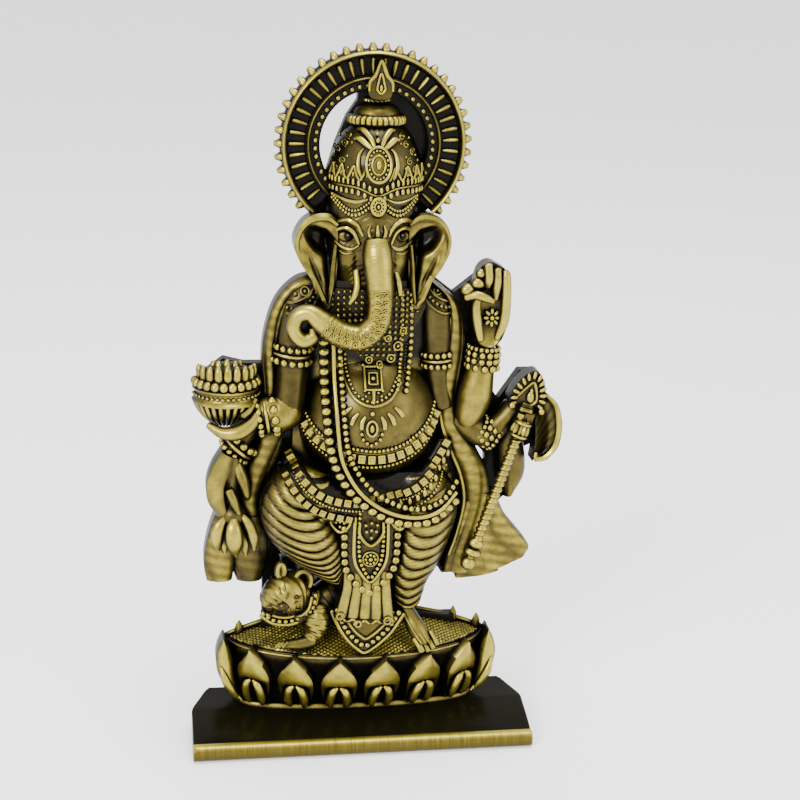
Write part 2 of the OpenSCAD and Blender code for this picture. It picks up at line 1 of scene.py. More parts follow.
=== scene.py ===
"""A four-armed elephant-headed figurine in antique brass, built on the frame of its parts.

Lengths in this file are millimetres in the frame's own axes (X right, -Y front, Z up)
and are turned to metres when a mesh is made.
"""
import math
import bpy
import numpy as np
from mathutils import Matrix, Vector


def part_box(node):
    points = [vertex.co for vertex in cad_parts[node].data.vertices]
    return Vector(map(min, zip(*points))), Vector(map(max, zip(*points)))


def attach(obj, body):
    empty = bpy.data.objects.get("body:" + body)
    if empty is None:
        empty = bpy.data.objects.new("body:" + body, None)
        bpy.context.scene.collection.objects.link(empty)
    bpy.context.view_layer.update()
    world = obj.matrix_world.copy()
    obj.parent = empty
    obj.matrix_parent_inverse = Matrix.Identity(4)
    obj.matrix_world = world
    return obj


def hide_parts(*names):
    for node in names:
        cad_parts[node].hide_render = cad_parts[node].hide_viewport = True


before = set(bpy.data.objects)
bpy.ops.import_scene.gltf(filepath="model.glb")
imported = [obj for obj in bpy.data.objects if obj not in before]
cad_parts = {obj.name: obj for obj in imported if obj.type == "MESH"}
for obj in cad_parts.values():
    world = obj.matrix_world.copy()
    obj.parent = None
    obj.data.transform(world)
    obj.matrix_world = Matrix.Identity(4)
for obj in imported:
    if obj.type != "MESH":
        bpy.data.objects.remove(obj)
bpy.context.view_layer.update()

bl_info = {
    "name": "Antique Brass Figurine",
    "version": (1, 0, 0),
    "blender": (4, 5, 0),
    "location": "View3D > Sidebar > Figurine",
    "description": "Builds an elephant-headed brass relief figurine, piece by piece",
    "category": "Object",
}

MM = 0.001


def corner(node, which):
    """A CAD node's lowest (0) or highest (1) corner, in millimetres."""
    return np.array(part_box(node)[which]) / MM


PLATE_FACE = corner("back_plate", 0)[1]
PLATE_BACK = corner("back_plate", 1)[1]
TABLE_Z = corner("base_plate", 0)[2]


# ---------------------------------------------------------------- mesh building

def part(verts, quads, ngons=(), wear_and_shading=1.0):
    """One closed surface: points, four-cornered faces, other faces, and its wear_and_shading level: how worn
    bright it is, with painted shade and painted highlight in places.
    """
    verts = np.asarray(verts, float).reshape(-1, 3)
    wear_and_shading = np.broadcast_to(np.asarray(wear_and_shading, float).reshape(-1), (len(verts),)) \
        if np.size(wear_and_shading) == 1 else np.asarray(wear_and_shading, float).reshape(-1)
    return {"v": verts, "q": np.asarray(quads, int).reshape(-1, 4), "n": [list(n) for n in ngons],
            "w": wear_and_shading}


def volume(p):
    """Signed volume: the sum over triangles of a . (b x c) / 6."""
    v, q = p["v"], p["q"]
    tri = [q[:, [0, 1, 2]], q[:, [0, 2, 3]]]
    tri += [np.array([[n[0], n[i], n[i + 1]] for i in range(1, len(n) - 1)]) for n in p["n"]]
    tri = np.concatenate([t for t in tri if len(t)])
    a, b, c = v[tri[:, 0]], v[tri[:, 1]], v[tri[:, 2]]
    return np.einsum("ij,ij->", a, np.cross(b, c)) / 6


def outward(p):
    """The part with its faces turned outwards."""
    if volume(p) < 0:
        p["q"] = p["q"][:, ::-1]
        p["n"] = [n[::-1] for n in p["n"]]
    return p


def loft(rows, wear_and_shading=1.0):
    """Closed loops, one per row of points, skinned in order and closed with a face at each end."""
    rows = np.asarray(rows, float)
    nv, nl = rows.shape[:2]
    i, k = np.meshgrid(np.arange(nv - 1), np.arange(nl), indexing="ij")
    a = i * nl + k
    b = i * nl + (k + 1) % nl
    quads = np.stack([a, b, b + nl, a + nl], -1).reshape(-1, 4)
    caps = [list(range(nl))[::-1], list(range((nv - 1) * nl, nv * nl))]
    if np.size(wear_and_shading) > 1:
        wear_and_shading = np.broadcast_to(wear_and_shading, (nv, nl))
    return outward(part(rows, quads, caps, wear_and_shading))


def copies(p, moves, wear_and_shading=None):
    """The same part repeated: moves is an array of 3 x 4 matrices, turned then shifted."""
    moves = np.asarray(moves, float)
    n, count = len(p["v"]), len(moves)
    v = np.einsum("mij,kj->mki", moves[:, :, :3], p["v"]) + moves[:, None, :, 3]
    shift = (np.arange(count) * n)[:, None, None]
    quads = (p["q"][None] + shift).reshape(-1, 4)
    ngons = [[x + s * n for x in face] for s in range(count) for face in p["n"]]
    w = np.tile(p["w"], count) if wear_and_shading is None else np.repeat(wear_and_shading, n)
    return part(v, quads, ngons, w)


def spline(points, count):
    """A Catmull-Rom curve through the points, sampled evenly in its own parameter.

    Each column of points is carried along, so radii can ride with positions.
    """
    p = np.asarray(points, float)
    p = np.vstack([2 * p[0] - p[1], p, 2 * p[-1] - p[-2]])
    t = np.linspace(0, len(p) - 3 - 1e-9, count)
    i = t.astype(int)
    t = (t - i)[:, None]
    a, b, c, d = p[i], p[i + 1], p[i + 2], p[i + 3]
    return b + (c - a) * t / 2 + (2 * a - 5 * b + 4 * c - d) * t ** 2 / 2 \
        + (3 * b - a - 3 * c + d) * t ** 3 / 2


def even(points, pitch):
    """Points along the curve through the given ones, a pitch apart."""
    p = spline(points, 40 * len(points))
    s = np.concatenate([[0], np.cumsum(np.linalg.norm(np.diff(p[:, :3], axis=0), axis=1))])
    count = max(int(round(s[-1] / pitch)), 1) + 1
    at = np.linspace(0, s[-1], count)
    return np.stack([np.interp(at, s, p[:, k]) for k in range(p.shape[1])], -1)


def path_frames(way):
    """Tangent, sideways and forward directions along a path; forward leans to -Y."""
    t = np.gradient(way, axis=0)
    t /= np.linalg.norm(t, axis=1, keepdims=True)
    side = np.cross(t, [0, 1.0, 0])
    side /= np.maximum(np.linalg.norm(side, axis=1, keepdims=True), 1e-9)
    return t, side, np.cross(side, t)


def tube(points, sides=16, count=None, flat=1.0, ends=0.6, ripple=None, wear_and_shading=1.0):
    """A round limb: at each point of the path a ring of the fourth column's radius.

    ring = centre + r (side cos a + forward flat sin a); the last ends' worth of a radius
    closes as a half-round cap. ripple(s, a) scales r.
    """
    p = np.asarray(points, float)
    count = count or 10 * len(p)
    way = spline(p, count)
    start = way[:1].repeat(5, 0)
    finish = way[-1:].repeat(5, 0)
    t, side, forward = path_frames(way[:, :3])
    bend = np.linspace(1, 0, 6)[:-1]
    start[:, 3] *= np.sqrt(1 - bend ** 2).clip(0.04)
    start[:, :3] -= t[0] * (bend * way[0, 3] * ends)[:, None]
    finish[:, 3] *= np.sqrt(1 - bend[::-1] ** 2).clip(0.04)
    finish[:, :3] += t[-1] * (bend[::-1] * way[-1, 3] * ends)[:, None]
    full = np.vstack([start, way, finish])
    side = np.vstack([side[:1].repeat(5, 0), side, side[-1:].repeat(5, 0)])
    forward = np.vstack([forward[:1].repeat(5, 0), forward, forward[-1:].repeat(5, 0)])
    a = np.linspace(0, 2 * np.pi, sides, endpoint=False)
    r = full[:, 3, None] * np.ones(sides)
    if ripple is not None:
        s = np.linspace(0, 1, len(full))[:, None]
        r = r * ripple(s, a[None])
    rows = full[:, None, :3] + side[:, None] * (r * np.cos(a))[..., None] \
        + forward[:, None] * (r * np.sin(a) * flat)[..., None]
    return loft(rows, wear_and_shading)


def ball(lat=6, lon=10, shape=(1, 1, 1)):
    """A unit ball of rings: (cos b cos a, -cos b sin a, sin b), scaled on each axis."""
    b = np.linspace(-np.pi / 2, np.pi / 2, lat + 2)
    b[0] += 0.05
    b[-1] -= 0.05
    a = np.linspace(0, 2 * np.pi, lon, endpoint=False)
    rows = np.stack([np.cos(b)[:, None] * np.cos(a), -np.cos(b)[:, None] * np.sin(a),
                     np.sin(b)[:, None] * np.ones(lon)], -1)
    return loft(rows * np.array(shape))


def beads(centres, radii, shape=(1, 1, 1), lat=4, lon=8, wear_and_shading=1.0):
    """Balls at the centres; shape stretches every one of them along X, Y and Z."""
    centres = np.asarray(centres, float).reshape(-1, 3)
    radii = np.broadcast_to(np.asarray(radii, float), (len(centres),))
    moves = np.zeros((len(centres), 3, 4))
    moves[:, [0, 1, 2], [0, 1, 2]] = radii[:, None]
    moves[:, :, 3] = centres
    return copies(ball(lat, lon, shape), moves, np.full(len(centres), wear_and_shading))


def turned(centres, angles, scale=1.0):
    """Matrices that turn a part about Y so that its Z axis leans by each angle to +X."""
    centres = np.asarray(centres, float).reshape(-1, 3)
    c, s = np.cos(angles), np.sin(angles)
    scale = np.broadcast_to(scale, c.shape)
    moves = np.zeros((len(centres), 3, 4))
    moves[:, 0, 0], moves[:, 0, 2] = c * scale, s * scale
    moves[:, 2, 0], moves[:, 2, 2] = -s * scale, c * scale
    moves[:, 1, 1] = scale
    moves[:, :, 3] = centres
    return moves


def lathe(profile, centre_y, span=(-90, 90), count=48, ripple=None, x=0.0, wear_and_shading=1.0, back=None):
    """Half-round turning about an upright axis: (x + r sin p, centre_y - r cos p, z).

    ripple(p, z) is added to r; the flat back joins the two edges.
    """
    prof = np.asarray(profile, float)
    p = np.radians(np.linspace(span[0], span[1], count))
    r, z = prof[:, :1] * np.ones(count), prof[:, 1:2] * np.ones(count)
    if ripple is not None:
        r = r + ripple(p[None], z)
    back = PLATE_FACE if back is None else back
    rows = np.stack([x + r * np.sin(p), np.minimum(centre_y - r * np.cos(p), back), z], -1)
    return loft(rows, wear_and_shading)


def slab(left, right, height, back, rows=60, cols=24, wear_and_shading=1.0):
    """Relief between two rails of (x, z) points, raised to y = height(u, v, x, z).

    u runs across from the left rail to the right one, v from the first points to the last.
    A wall drops from each edge to the flat back.
    """
    a, b = spline(left, rows), spline(right, rows)
    u = np.linspace(0, 1, cols)[None]
    v = np.linspace(0, 1, rows)[:, None]
    x = a[:, :1] + (b[:, :1] - a[:, :1]) * u
    z = a[:, 1:2] + (b[:, 1:2] - a[:, 1:2]) * u
    y = height(u * np.ones_like(v), v * np.ones_like(u), x, z)
    y = np.minimum(y, back - 0.05)
    front = np.stack([x, y, z], -1)
    rear = front[:, ::-1].copy()[:, [0, cols // 2, -1]]
    rear[..., 1] = back
    w = wear_and_shading(u, v, x, z) if callable(wear_and_shading) else float(wear_and_shading)
    w = w * np.ones((rows, cols))
    full = np.concatenate([w, np.zeros((rows, 3))], 1)
    return loft(np.concatenate([front, rear], 1), full)


def pillow(outline, centre, height, back, rings=14, count=96, wear_and_shading=1.0, closed_spline=True):
    """Relief inside a closed outline of (x, z) points that its centre can see.

    From the rim to the centre, q = 1 to 0: (centre + (outline - centre) q,
    y = height(q, x, z)); a wall drops from the rim to the flat back.
    """
    pts = np.asarray(outline, float)
    if closed_spline:
        wrap = np.vstack([pts[-1:], pts, pts[:2]])
        dense = spline(wrap, 12 * len(wrap))
        keep = dense[12:-12]
        s = np.concatenate([[0], np.cumsum(np.linalg.norm(np.diff(keep, axis=0), axis=1))])
        at = np.linspace(0, s[-1], count, endpoint=False)
        pts = np.stack([np.interp(at, s, keep[:, k]) for k in range(2)], -1)
    q = np.cos(np.linspace(0, np.pi / 2, rings)).clip(0.02)[:, None]
    x = centre[0] + (pts[None, :, 0] - centre[0]) * q
    z = centre[1] + (pts[None, :, 1] - centre[1]) * q
    y = np.minimum(height(q * np.ones_like(x), x, z), back - 0.05)
    front = np.stack([x, y, z], -1)
    rear = front[:1].copy()
    rear[..., 1] = back
    w = wear_and_shading(q, x, z) if callable(wear_and_shading) else np.full(x.shape, float(wear_and_shading))
    full = np.concatenate([np.zeros((1, x.shape[1])), w * np.ones_like(x)], 0)
    return loft(np.concatenate([rear, front], 0), full)


def make(name, parts, material, replaces=(), sharp=50):
    """Joins the parts into one mesh object on the frame, in metres."""
    parts = [p for p in parts if len(p["v"])]
    start = np.cumsum([0] + [len(p["v"]) for p in parts])
    verts = np.vstack([p["v"] for p in parts]) * MM
    faces = np.vstack([p["q"] + s for p, s in zip(parts, start)]).tolist()
    faces += [[i + int(s) for i in n] for p, s in zip(parts, start) for n in p["n"]]
    mesh = bpy.data.meshes.new(name)
    mesh.from_pydata(verts.tolist(), [], faces)
    worn_and_shaded = mesh.attributes.new("wear_and_shading", "FLOAT", "POINT")
    worn_and_shaded.data.foreach_set("value", np.concatenate([p["w"] for p in parts]).astype(np.float32))
    mesh.polygons.foreach_set("use_smooth", np.ones(len(mesh.polygons), bool))
    mesh.set_sharp_from_angle(angle=math.radians(sharp))
    mesh.update()
    piece = bpy.data.objects.new(name, mesh)
    bpy.context.scene.collection.objects.link(piece)
    mesh.materials.append(material)
    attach(piece, "root")
    if replaces:
        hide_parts(*replaces)
    return piece


# ---------------------------------------------------------------- settings

class FigurineColours(bpy.types.PropertyGroup):
    """Colours of the finishes."""
    # bright, mid and dark are the stops of the brass ramp: brushed brass, olive brass and patina, and through
    # the wear_and_shading mask also painted highlight and painted shade.
    bright: bpy.props.FloatVectorProperty(
        name="Bright brass", description="Raised, brushed brass", subtype="COLOR", size=3,
        default=(0.33, 0.27, 0.034), min=0, max=1)
    mid: bpy.props.FloatVectorProperty(
        name="Olive brass", description="Half-toned brass", subtype="COLOR", size=3,
        default=(0.088, 0.066, 0.010), min=0, max=1)
    dark: bpy.props.FloatVectorProperty(
        name="Dark patina", description="Stain in the hollows", subtype="COLOR", size=3,
        default=(0.004, 0.003, 0.0014), min=0, max=1)
    lacquer: bpy.props.FloatVectorProperty(
        name="Base lacquer", description="Gloss lacquer of the base", subtype="COLOR", size=3,
        default=(0.0035, 0.0032, 0.0009), min=0, max=1)
    felt: bpy.props.FloatVectorProperty(
        name="Felt", description="Felt under the base", subtype="COLOR", size=3,
        default=(0.012, 0.05, 0.025), min=0, max=1)
    floor: bpy.props.FloatVectorProperty(
        name="Floor", description="Pale floor", subtype="COLOR", size=3,
        default=(0.93, 0.93, 0.93), min=0, max=1)


class FigurineSizes(bpy.types.PropertyGroup):
    """Sizes that shape the castings, in millimetres."""
    stain_depth: bpy.props.FloatProperty(
        name="Stain reach", description="How far from a hollow the stain shows, in mm",
        default=1.6, min=0.4, max=4)
    fold_depth: bpy.props.FloatProperty(
        name="Fold depth", description="Height of the folds of the dhoti, in mm",
        default=0.9, min=0.2, max=1.4)
    lens: bpy.props.FloatProperty(
        name="Lens", description="Focal length of the camera", subtype="DISTANCE_CAMERA",
        default=72.0, min=40, max=120)


def colours():
    """The panel's colours."""
    return bpy.context.scene.figurine_colours


def sizes():
    """The panel's sizes."""
    return bpy.context.scene.figurine_sizes


# ---------------------------------------------------------------- materials

def new_material(name):
    """A new material with its node tree and its shader."""
    mat = bpy.data.materials.new(name)
    mat.use_nodes = True
    tree = mat.node_tree
    return mat, tree, tree.nodes["Principled BSDF"]


def link(tree, a, b):
    """Joins output a to input b."""
    tree.links.new(a, b)


def add(tree, kind, **values):
    """A node with its properties and, by input name or number, its constants set."""
    node = tree.nodes.new(kind)
    for key, value in values.items():
        if key.startswith("in_"):
            slot_key = key[3:]
            node.inputs[int(slot_key) if slot_key.isdigit() else slot_key].default_value = value
        else:
            setattr(node, key, value)
    return node


def maths(tree, operation, a, b=None, clamp=False):
    """A maths node on two sockets or numbers; gives its output."""
    node = add(tree, "ShaderNodeMath", operation=operation, use_clamp=clamp)
    for socket, value in zip(node.inputs, (a, b)):
        if value is None:
            continue
        if isinstance(value, (int, float)):
            socket.default_value = value
        else:
            link(tree, value, socket)
    return node.outputs[0]


def antique(name, tone=1.0, stain=1.0, brush=(1, 1, 1), gloss=0.3, bump=0.25):
    """Brass stained dark in its hollows and brushed bright on what stands forward.

    brightness = wear-and-shading attribute (wear, with painted shade and painted highlight in places)
    x openness to the sky around (ambient occlusion) x how far the surface faces the front and up
    (rubbed front faces, with painted light from the top and front), broken up by blotches and by
    fine brush lines.
    """
    mat, tree, shader = new_material(name)
    where = add(tree, "ShaderNodeTexCoord").outputs["Object"]
    worn_and_shaded = add(tree, "ShaderNodeAttribute", attribute_name="wear_and_shading").outputs["Fac"]
    hollow = add(tree, "ShaderNodeAmbientOcclusion", samples=12,
                 in_Distance=sizes().stain_depth * stain * MM).outputs["AO"]
    # Painted light: surfaces turned to the front, and a little more those turned up, are made brighter;
    # partly rubbed brass on the front faces, partly light falling from the top and front.
    facing = add(tree, "ShaderNodeSeparateXYZ")
    link(tree, add(tree, "ShaderNodeNewGeometry").outputs["Normal"], facing.inputs[0])
    front = maths(tree, "MULTIPLY", facing.outputs["Y"], -1.0)
    top_light = maths(tree, "MULTIPLY", facing.outputs["Z"], 0.25)
    front = maths(tree, "ADD", front, top_light)
    facing_rub_and_light = add(tree, "ShaderNodeMapRange", interpolation_type="SMOOTHSTEP",
                    in_1=0.12, in_2=0.92, in_3=0.06, in_4=1.0)
    link(tree, front, facing_rub_and_light.inputs[0])
    open_map = add(tree, "ShaderNodeMapRange", interpolation_type="SMOOTHSTEP",
                   in_1=0.4, in_2=0.95, in_3=0.0, in_4=1.0)
    link(tree, hollow, open_map.inputs[0])
    blotch = add(tree, "ShaderNodeTexNoise", in_Scale=420.0, in_Detail=4.0, in_Roughness=0.6)
    link(tree, where, blotch.inputs["Vector"])
    blotch_map = add(tree, "ShaderNodeMapRange", in_1=0.3, in_2=0.7, in_3=0.74, in_4=1.12)
    link(tree, blotch.outputs["Fac"], blotch_map.inputs[0])
    mapping = add(tree, "ShaderNodeMapping", in_Scale=brush)
    link(tree, where, mapping.inputs[0])
    lines = add(tree, "ShaderNodeTexNoise", in_Scale=2600.0, in_Detail=3.0, in_Roughness=0.7)
    link(tree, mapping.outputs[0], lines.inputs["Vector"])
    level = maths(tree, "MULTIPLY", worn_and_shaded, open_map.outputs[0])
    level = maths(tree, "MULTIPLY", level, facing_rub_and_light.outputs[0])
    level = maths(tree, "MULTIPLY", level, blotch_map.outputs[0])
    fine = maths(tree, "SUBTRACT", lines.outputs["Fac"], 0.5)
    level = maths(tree, "ADD", level, maths(tree, "MULTIPLY", fine, 0.3))
    level = maths(tree, "MULTIPLY", level, tone, clamp=True)
    ramp = add(tree, "ShaderNodeValToRGB")
    stops = ramp.color_ramp
    stops.elements[0].color = (*colours().dark, 1)
    stops.elements[1].color = (*colours().bright, 1)
    stops.elements[1].position = 0.92
    stops.elements.new(0.46).color = (*colours().mid, 1)
    stops.elements[0].position = 0.1
    link(tree, level, ramp.inputs[0])
    link(tree, ramp.outputs[0], shader.inputs["Base Color"])
    rough = add(tree, "ShaderNodeMapRange", in_1=0.0, in_2=1.0, in_3=gloss + 0.16, in_4=gloss)
    link(tree, level, rough.inputs[0])
    link(tree, rough.outputs[0], shader.inputs["Roughness"])
    shader.inputs["Metallic"].default_value = 0.9
    shader.inputs["Coat Weight"].default_value = 0.1
    shader.inputs["Coat Roughness"].default_value = 0.16
    dent = add(tree, "ShaderNodeBump", in_Strength=bump, in_Distance=0.00006)
    link(tree, lines.outputs["Fac"], dent.inputs["Height"])
    link(tree, dent.outputs[0], shader.inputs["Normal"])
    return mat


def base_finish():
    """Nearly black gloss lacquer, with the front rail brushed bright through it."""
    mat, tree, shader = new_material("base_finish")
    where = add(tree, "ShaderNodeTexCoord").outputs["Object"]
    # The wear_and_shading mask: on the rail it is the brushed brass showing through the lacquer, with the
    # painted highlight and shade of the bullnose.
    rail = add(tree, "ShaderNodeAttribute", attribute_name="wear_and_shading").outputs["Fac"]
    mapping = add(tree, "ShaderNodeMapping", in_Scale=(1, 0.02, 0.02))
    link(tree, where, mapping.inputs[0])
    lines = add(tree, "ShaderNodeTexNoise", in_Scale=2600.0, in_Detail=4.0, in_Roughness=0.75)
    link(tree, mapping.outputs[0], lines.inputs["Vector"])
    cloud = add(tree, "ShaderNodeTexNoise", in_Scale=90.0, in_Detail=3.0)
    link(tree, where, cloud.inputs["Vector"])
    fine = maths(tree, "SUBTRACT", lines.outputs["Fac"], 0.5)
    level = maths(tree, "ADD", rail, maths(tree, "MULTIPLY", maths(tree, "MULTIPLY", fine, 1.7), rail))
    level = maths(tree, "MULTIPLY", level, 1.0, clamp=True)
    ramp = add(tree, "ShaderNodeValToRGB")
    ramp.color_ramp.elements[0].color = (*colours().lacquer, 1)
    ramp.color_ramp.elements[1].color = (*colours().bright, 1)
    ramp.color_ramp.elements.new(0.45).color = (*colours().mid, 1)
    link(tree, level, ramp.inputs[0])
    link(tree, ramp.outputs[0], shader.inputs["Base Color"])
    rough = add(tree, "ShaderNodeMapRange", in_1=0.3, in_2=0.7, in_3=0.16, in_4=0.26)
    link(tree, cloud.outputs["Fac"], rough.inputs[0])
    both = maths(tree, "ADD", rough.outputs[0], maths(tree, "MULTIPLY", rail, 0.16))
    link(tree, both, shader.inputs["Roughness"])
    link(tree, maths(tree, "MULTIPLY", rail, 0.85), shader.inputs["Metallic"])
    shader.inputs["Specular IOR Level"].default_value = 0.05
    shader.inputs["Coat Weight"].default_value = 0.015
    shader.inputs["Coat Roughness"].default_value = 0.1
    dent = add(tree, "ShaderNodeBump", in_Strength=0.2, in_Distance=0.00005)
    link(tree, lines.outputs["Fac"], dent.inputs["Height"])
    link(tree, dent.outputs[0], shader.inputs["Normal"])
    return mat


def felt_finish():
    """Matted felt: a fine tangle of noise in colour and height, with a soft sheen."""
    mat, tree, shader = new_material("felt_finish")
    where = add(tree, "ShaderNodeTexCoord").outputs["Object"]
    tangle = add(tree, "ShaderNodeTexNoise", in_Scale=1500.0, in_Detail=6.0, in_Distortion=1.5)
    link(tree, where, tangle.inputs["Vector"])
    ramp = add(tree, "ShaderNodeValToRGB")
    felt = np.array(colours().felt)
    ramp.color_ramp.elements[0].color = (*(felt * 0.5), 1)
    ramp.color_ramp.elements[1].color = (*(felt * 1.8), 1)
    link(tree, tangle.outputs["Fac"], ramp.inputs[0])
    link(tree, ramp.outputs[0], shader.inputs["Base Color"])
    shader.inputs["Roughness"].default_value = 0.95
    shader.inputs["Sheen Weight"].default_value = 0.4
    dent = add(tree, "ShaderNodeBump", in_Strength=0.8, in_Distance=0.0002)
    link(tree, tangle.outputs["Fac"], dent.inputs["Height"])
    link(tree, dent.outputs[0], shader.inputs["Normal"])
    return mat


def plated_steel():
    """Zinc-plated steel: a cool grey crossed by fine turning marks."""
    mat, tree, shader = new_material("plated_steel")
    where = add(tree, "ShaderNodeTexCoord").outputs["Object"]
    marks = add(tree, "ShaderNodeTexNoise", in_Scale=1800.0, in_Detail=3.0)
    link(tree, where, marks.inputs["Vector"])
    ramp = add(tree, "ShaderNodeValToRGB")
    ramp.color_ramp.elements[0].color = (0.42, 0.42, 0.4, 1)
    ramp.color_ramp.elements[1].color = (0.66, 0.66, 0.64, 1)
    link(tree, marks.outputs["Fac"], ramp.inputs[0])
    link(tree, ramp.outputs[0], shader.inputs["Base Color"])
    shader.inputs["Metallic"].default_value = 1.0
    shader.inputs["Roughness"].default_value = 0.34
    return mat


FINISHES = {}


def finish(name):
    """Makes each finish once, on first use."""
    makers = {
        "raised": lambda: antique("raised_brass", tone=0.98),
        "soft": lambda: antique("soft_brass", tone=0.8, brush=(1, 1, 0.2)),
        "fine": lambda: antique("fine_brass", tone=1.15, stain=0.6),
        "skin": lambda: antique("polished_skin", tone=0.62, stain=1.6, brush=(0.3, 1, 1), gloss=0.22),
        "cloth": lambda: antique("cloth_brass", tone=0.82, stain=0.9, brush=(0.3, 1, 1)),
        "ear": lambda: antique("ear_brass", tone=0.76, stain=2.6, brush=(1, 1, 0.3), gloss=0.25),
        "plate": lambda: antique("plate_patina", tone=0.3, stain=1.2, gloss=0.5, bump=0.4),
        "base": base_finish,
        "felt": felt_finish,
        "steel": plated_steel,
    }
    if name not in FINISHES:
        FINISHES[name] = makers[name]()
    return FINISHES[name]


def cast(node, parts, look):
    """The casting that stands for one CAD node, in one of the finishes."""
    return make(node + "_casting", parts, finish(look), [node])


def dress(node, name):
    """Gives a kept CAD node one of the finishes."""
    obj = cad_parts[node]
    obj.data.materials.clear()
    obj.data.materials.append(finish(name))


# ---------------------------------------------------------------- base and seat

SEAT_X = -0.5
BACK_Y = PLATE_BACK - 0.05


def base_parts():
    """Profile in Y-Z carried along X: bullnose arc, groove, sloping top with a crease, back.

    The back corners are cut off, so the back edge moves forward towards both ends.
    """
    low, high = corner("base_plate", 0), corner("base_plate", 1)
    r = 1.7
    crease = (-2.9, 5.8)
    xs = np.concatenate([[0, 0.05, 0.15, 0.3, 0.5], np.linspace(0.8, 68.2, 90),
                         69 - np.array([0.5, 0.3, 0.15, 0.05, 0])]) + low[0]
    inset = 0.5 * (1 - np.sqrt(1 - (1 - (np.minimum(xs - low[0], high[0] - xs) / 0.5).clip(0, 1)) ** 2))
    back = np.interp(np.abs(xs), [31, high[0]], [high[1], crease[0]])
    arc = np.radians(np.linspace(268, 78, 22))
    nose = np.stack([low[1] + r + r * np.cos(arc), r + r * np.sin(arc)], -1)
    top = np.array([[low[1] + 2.3, 3.15], [low[1] + 2.6, 3.3], [low[1] + 3, 3.43], [-9, 4.42],
                    [-6, 5.1], [-3.2, 5.74], crease, [-2.6, 5.84], [0, 6.13], [4, 6.5]])
    prof = np.vstack([nose, top])
    y = np.minimum(prof[None, :, 0], back[:, None] - 0.02)
    z = prof[None, :, 1] * np.ones_like(y)
    slope = (high[2] - crease[1]) / (high[1] - crease[0])
    z = np.where(prof[None, :, 0] > back[:, None], crease[1] + (y - crease[0]) * slope, z)
    end = np.stack([back, crease[1] + (back - crease[0]) * slope], -1)[:, None]
    foot = np.stack([back, np.zeros_like(back)], -1)[:, None]
    yz = np.concatenate([np.stack([y, z], -1), end, foot], 1)
    yz[..., 0] = np.clip(yz[..., 0], low[1] + inset[:, None], back[:, None] - inset[:, None])
    yz[..., 1] = np.maximum(yz[..., 1] - inset[:, None] * (yz[..., 1] > 1), 0)
    rows = np.concatenate([xs[:, None, None] * np.ones((1, yz.shape[1], 1)), yz], -1)
    # Painted highlight and painted shade on the rail's bullnose: the mask runs from bright at its top edge,
    # where the light catches it, to dark at its bottom.
    worn_and_shaded = np.zeros(yz.shape[1])
    worn_and_shaded[:len(nose)] = np.interp(np.linspace(268, 78, len(nose)), [78, 112, 150, 205, 268],
                                 [1.1, 1.0, 0.46, 0.3, 0.12])
    return [loft(rows, worn_and_shaded[None])]


def seat_plan(half_w, depth, power, count=72):
    """Half-round plan: x = middle + half_w cos a, y = back - depth (sin a) ^ power."""
    a = np.linspace(0, np.pi, count)
    return SEAT_X + half_w * np.cos(a), BACK_Y - depth * np.sin(a).clip(0) ** power


SEAT_RISE = 0.3


def seat_core_parts():
    """Flaring side between foot and rim, then the top, which climbs to an arched back edge.

    The top is hatched both ways like a seed pod.
    """
    rows, worn_and_shaded = [], []
    stages = [(5.5, 24.2, 7.4, 0.45), (8, 24.9, 7.8, 0.5), (12, 26.0, 9.4, 0.7),
              (15, 26.8, 11.2, 0.9), (17, 27.0, 12.3, 1), (18, 27.1, 12.9, 1),
              (18.8, 27.1, 13.05, 1), (19.3, 26.8, 12.8, 1), (19.1, 26.2, 12.4, 1)]
    for z, half, depth, power in stages:
        x, y = seat_plan(half, depth, power, 260)
        rise = np.clip((z - 12) / 6, 0, 1) * SEAT_RISE * ((x - SEAT_X) / 27) ** 2
        rows.append(np.stack([x, y, z + rise], -1))
        worn_and_shaded.append(0.3 if z > 17.5 else 0.12)
    x0, y0 = seat_plan(26.2, 12.4, 1, 260)
    for q in np.linspace(1, 0.02, 100):
        x = SEAT_X + (x0 - SEAT_X) * q
        y = BACK_Y + (y0 - BACK_Y) * q
        across = (x - SEAT_X) / 27
        climb = 6.0 * (1 - across ** 2) * ((y + 9) / 13).clip(0, 1) + SEAT_RISE * across ** 2
        hatch = np.abs(np.sin(2.4 * (x + 1.6 * y))) * np.abs(np.sin(2.4 * (x - 1.6 * y)))
        rows.append(np.stack([x, y, 18.9 + climb + 0.34 * hatch - 0.25], -1))
        worn_and_shaded.append(1.15)
    worn_and_shaded = np.array(worn_and_shaded)[:, None] * np.ones((1, len(x0)))
    arch = np.linspace(-26.6, 26.6, 60)
    rim = np.stack([SEAT_X + arch, 2.9 + 0 * arch, 19.6 + 5.8 * (1 - (arch / 26.6) ** 2),
                    0.5 + 0 * arch], -1)
    lip_x, lip_y = seat_plan(27.0, 13.0, 1)
    lip = np.stack([lip_x, lip_y, 18.9 + SEAT_RISE * ((lip_x - SEAT_X) / 27) ** 2,
                    np.full_like(lip_x, 0.24)], -1)[2:-2]
    return [loft(np.array(rows), worn_and_shaded), tube(rim, sides=10, count=90, wear_and_shading=0.75),
            tube(lip, sides=8, count=140, wear_and_shading=1.0)]


def seat_foot_parts():
    """The half-round moulding between the seat and the base."""
    x, y = seat_plan(24.3, 8.5, 0.4, 60)
    way = np.stack([x, y, 5.9 + 0.06 * (y + 4), np.full_like(x, 0.85)], -1)[1:-1]
    return [tube(way, sides=14, count=120, flat=0.7, ends=0.3, wear_and_shading=0.85)]


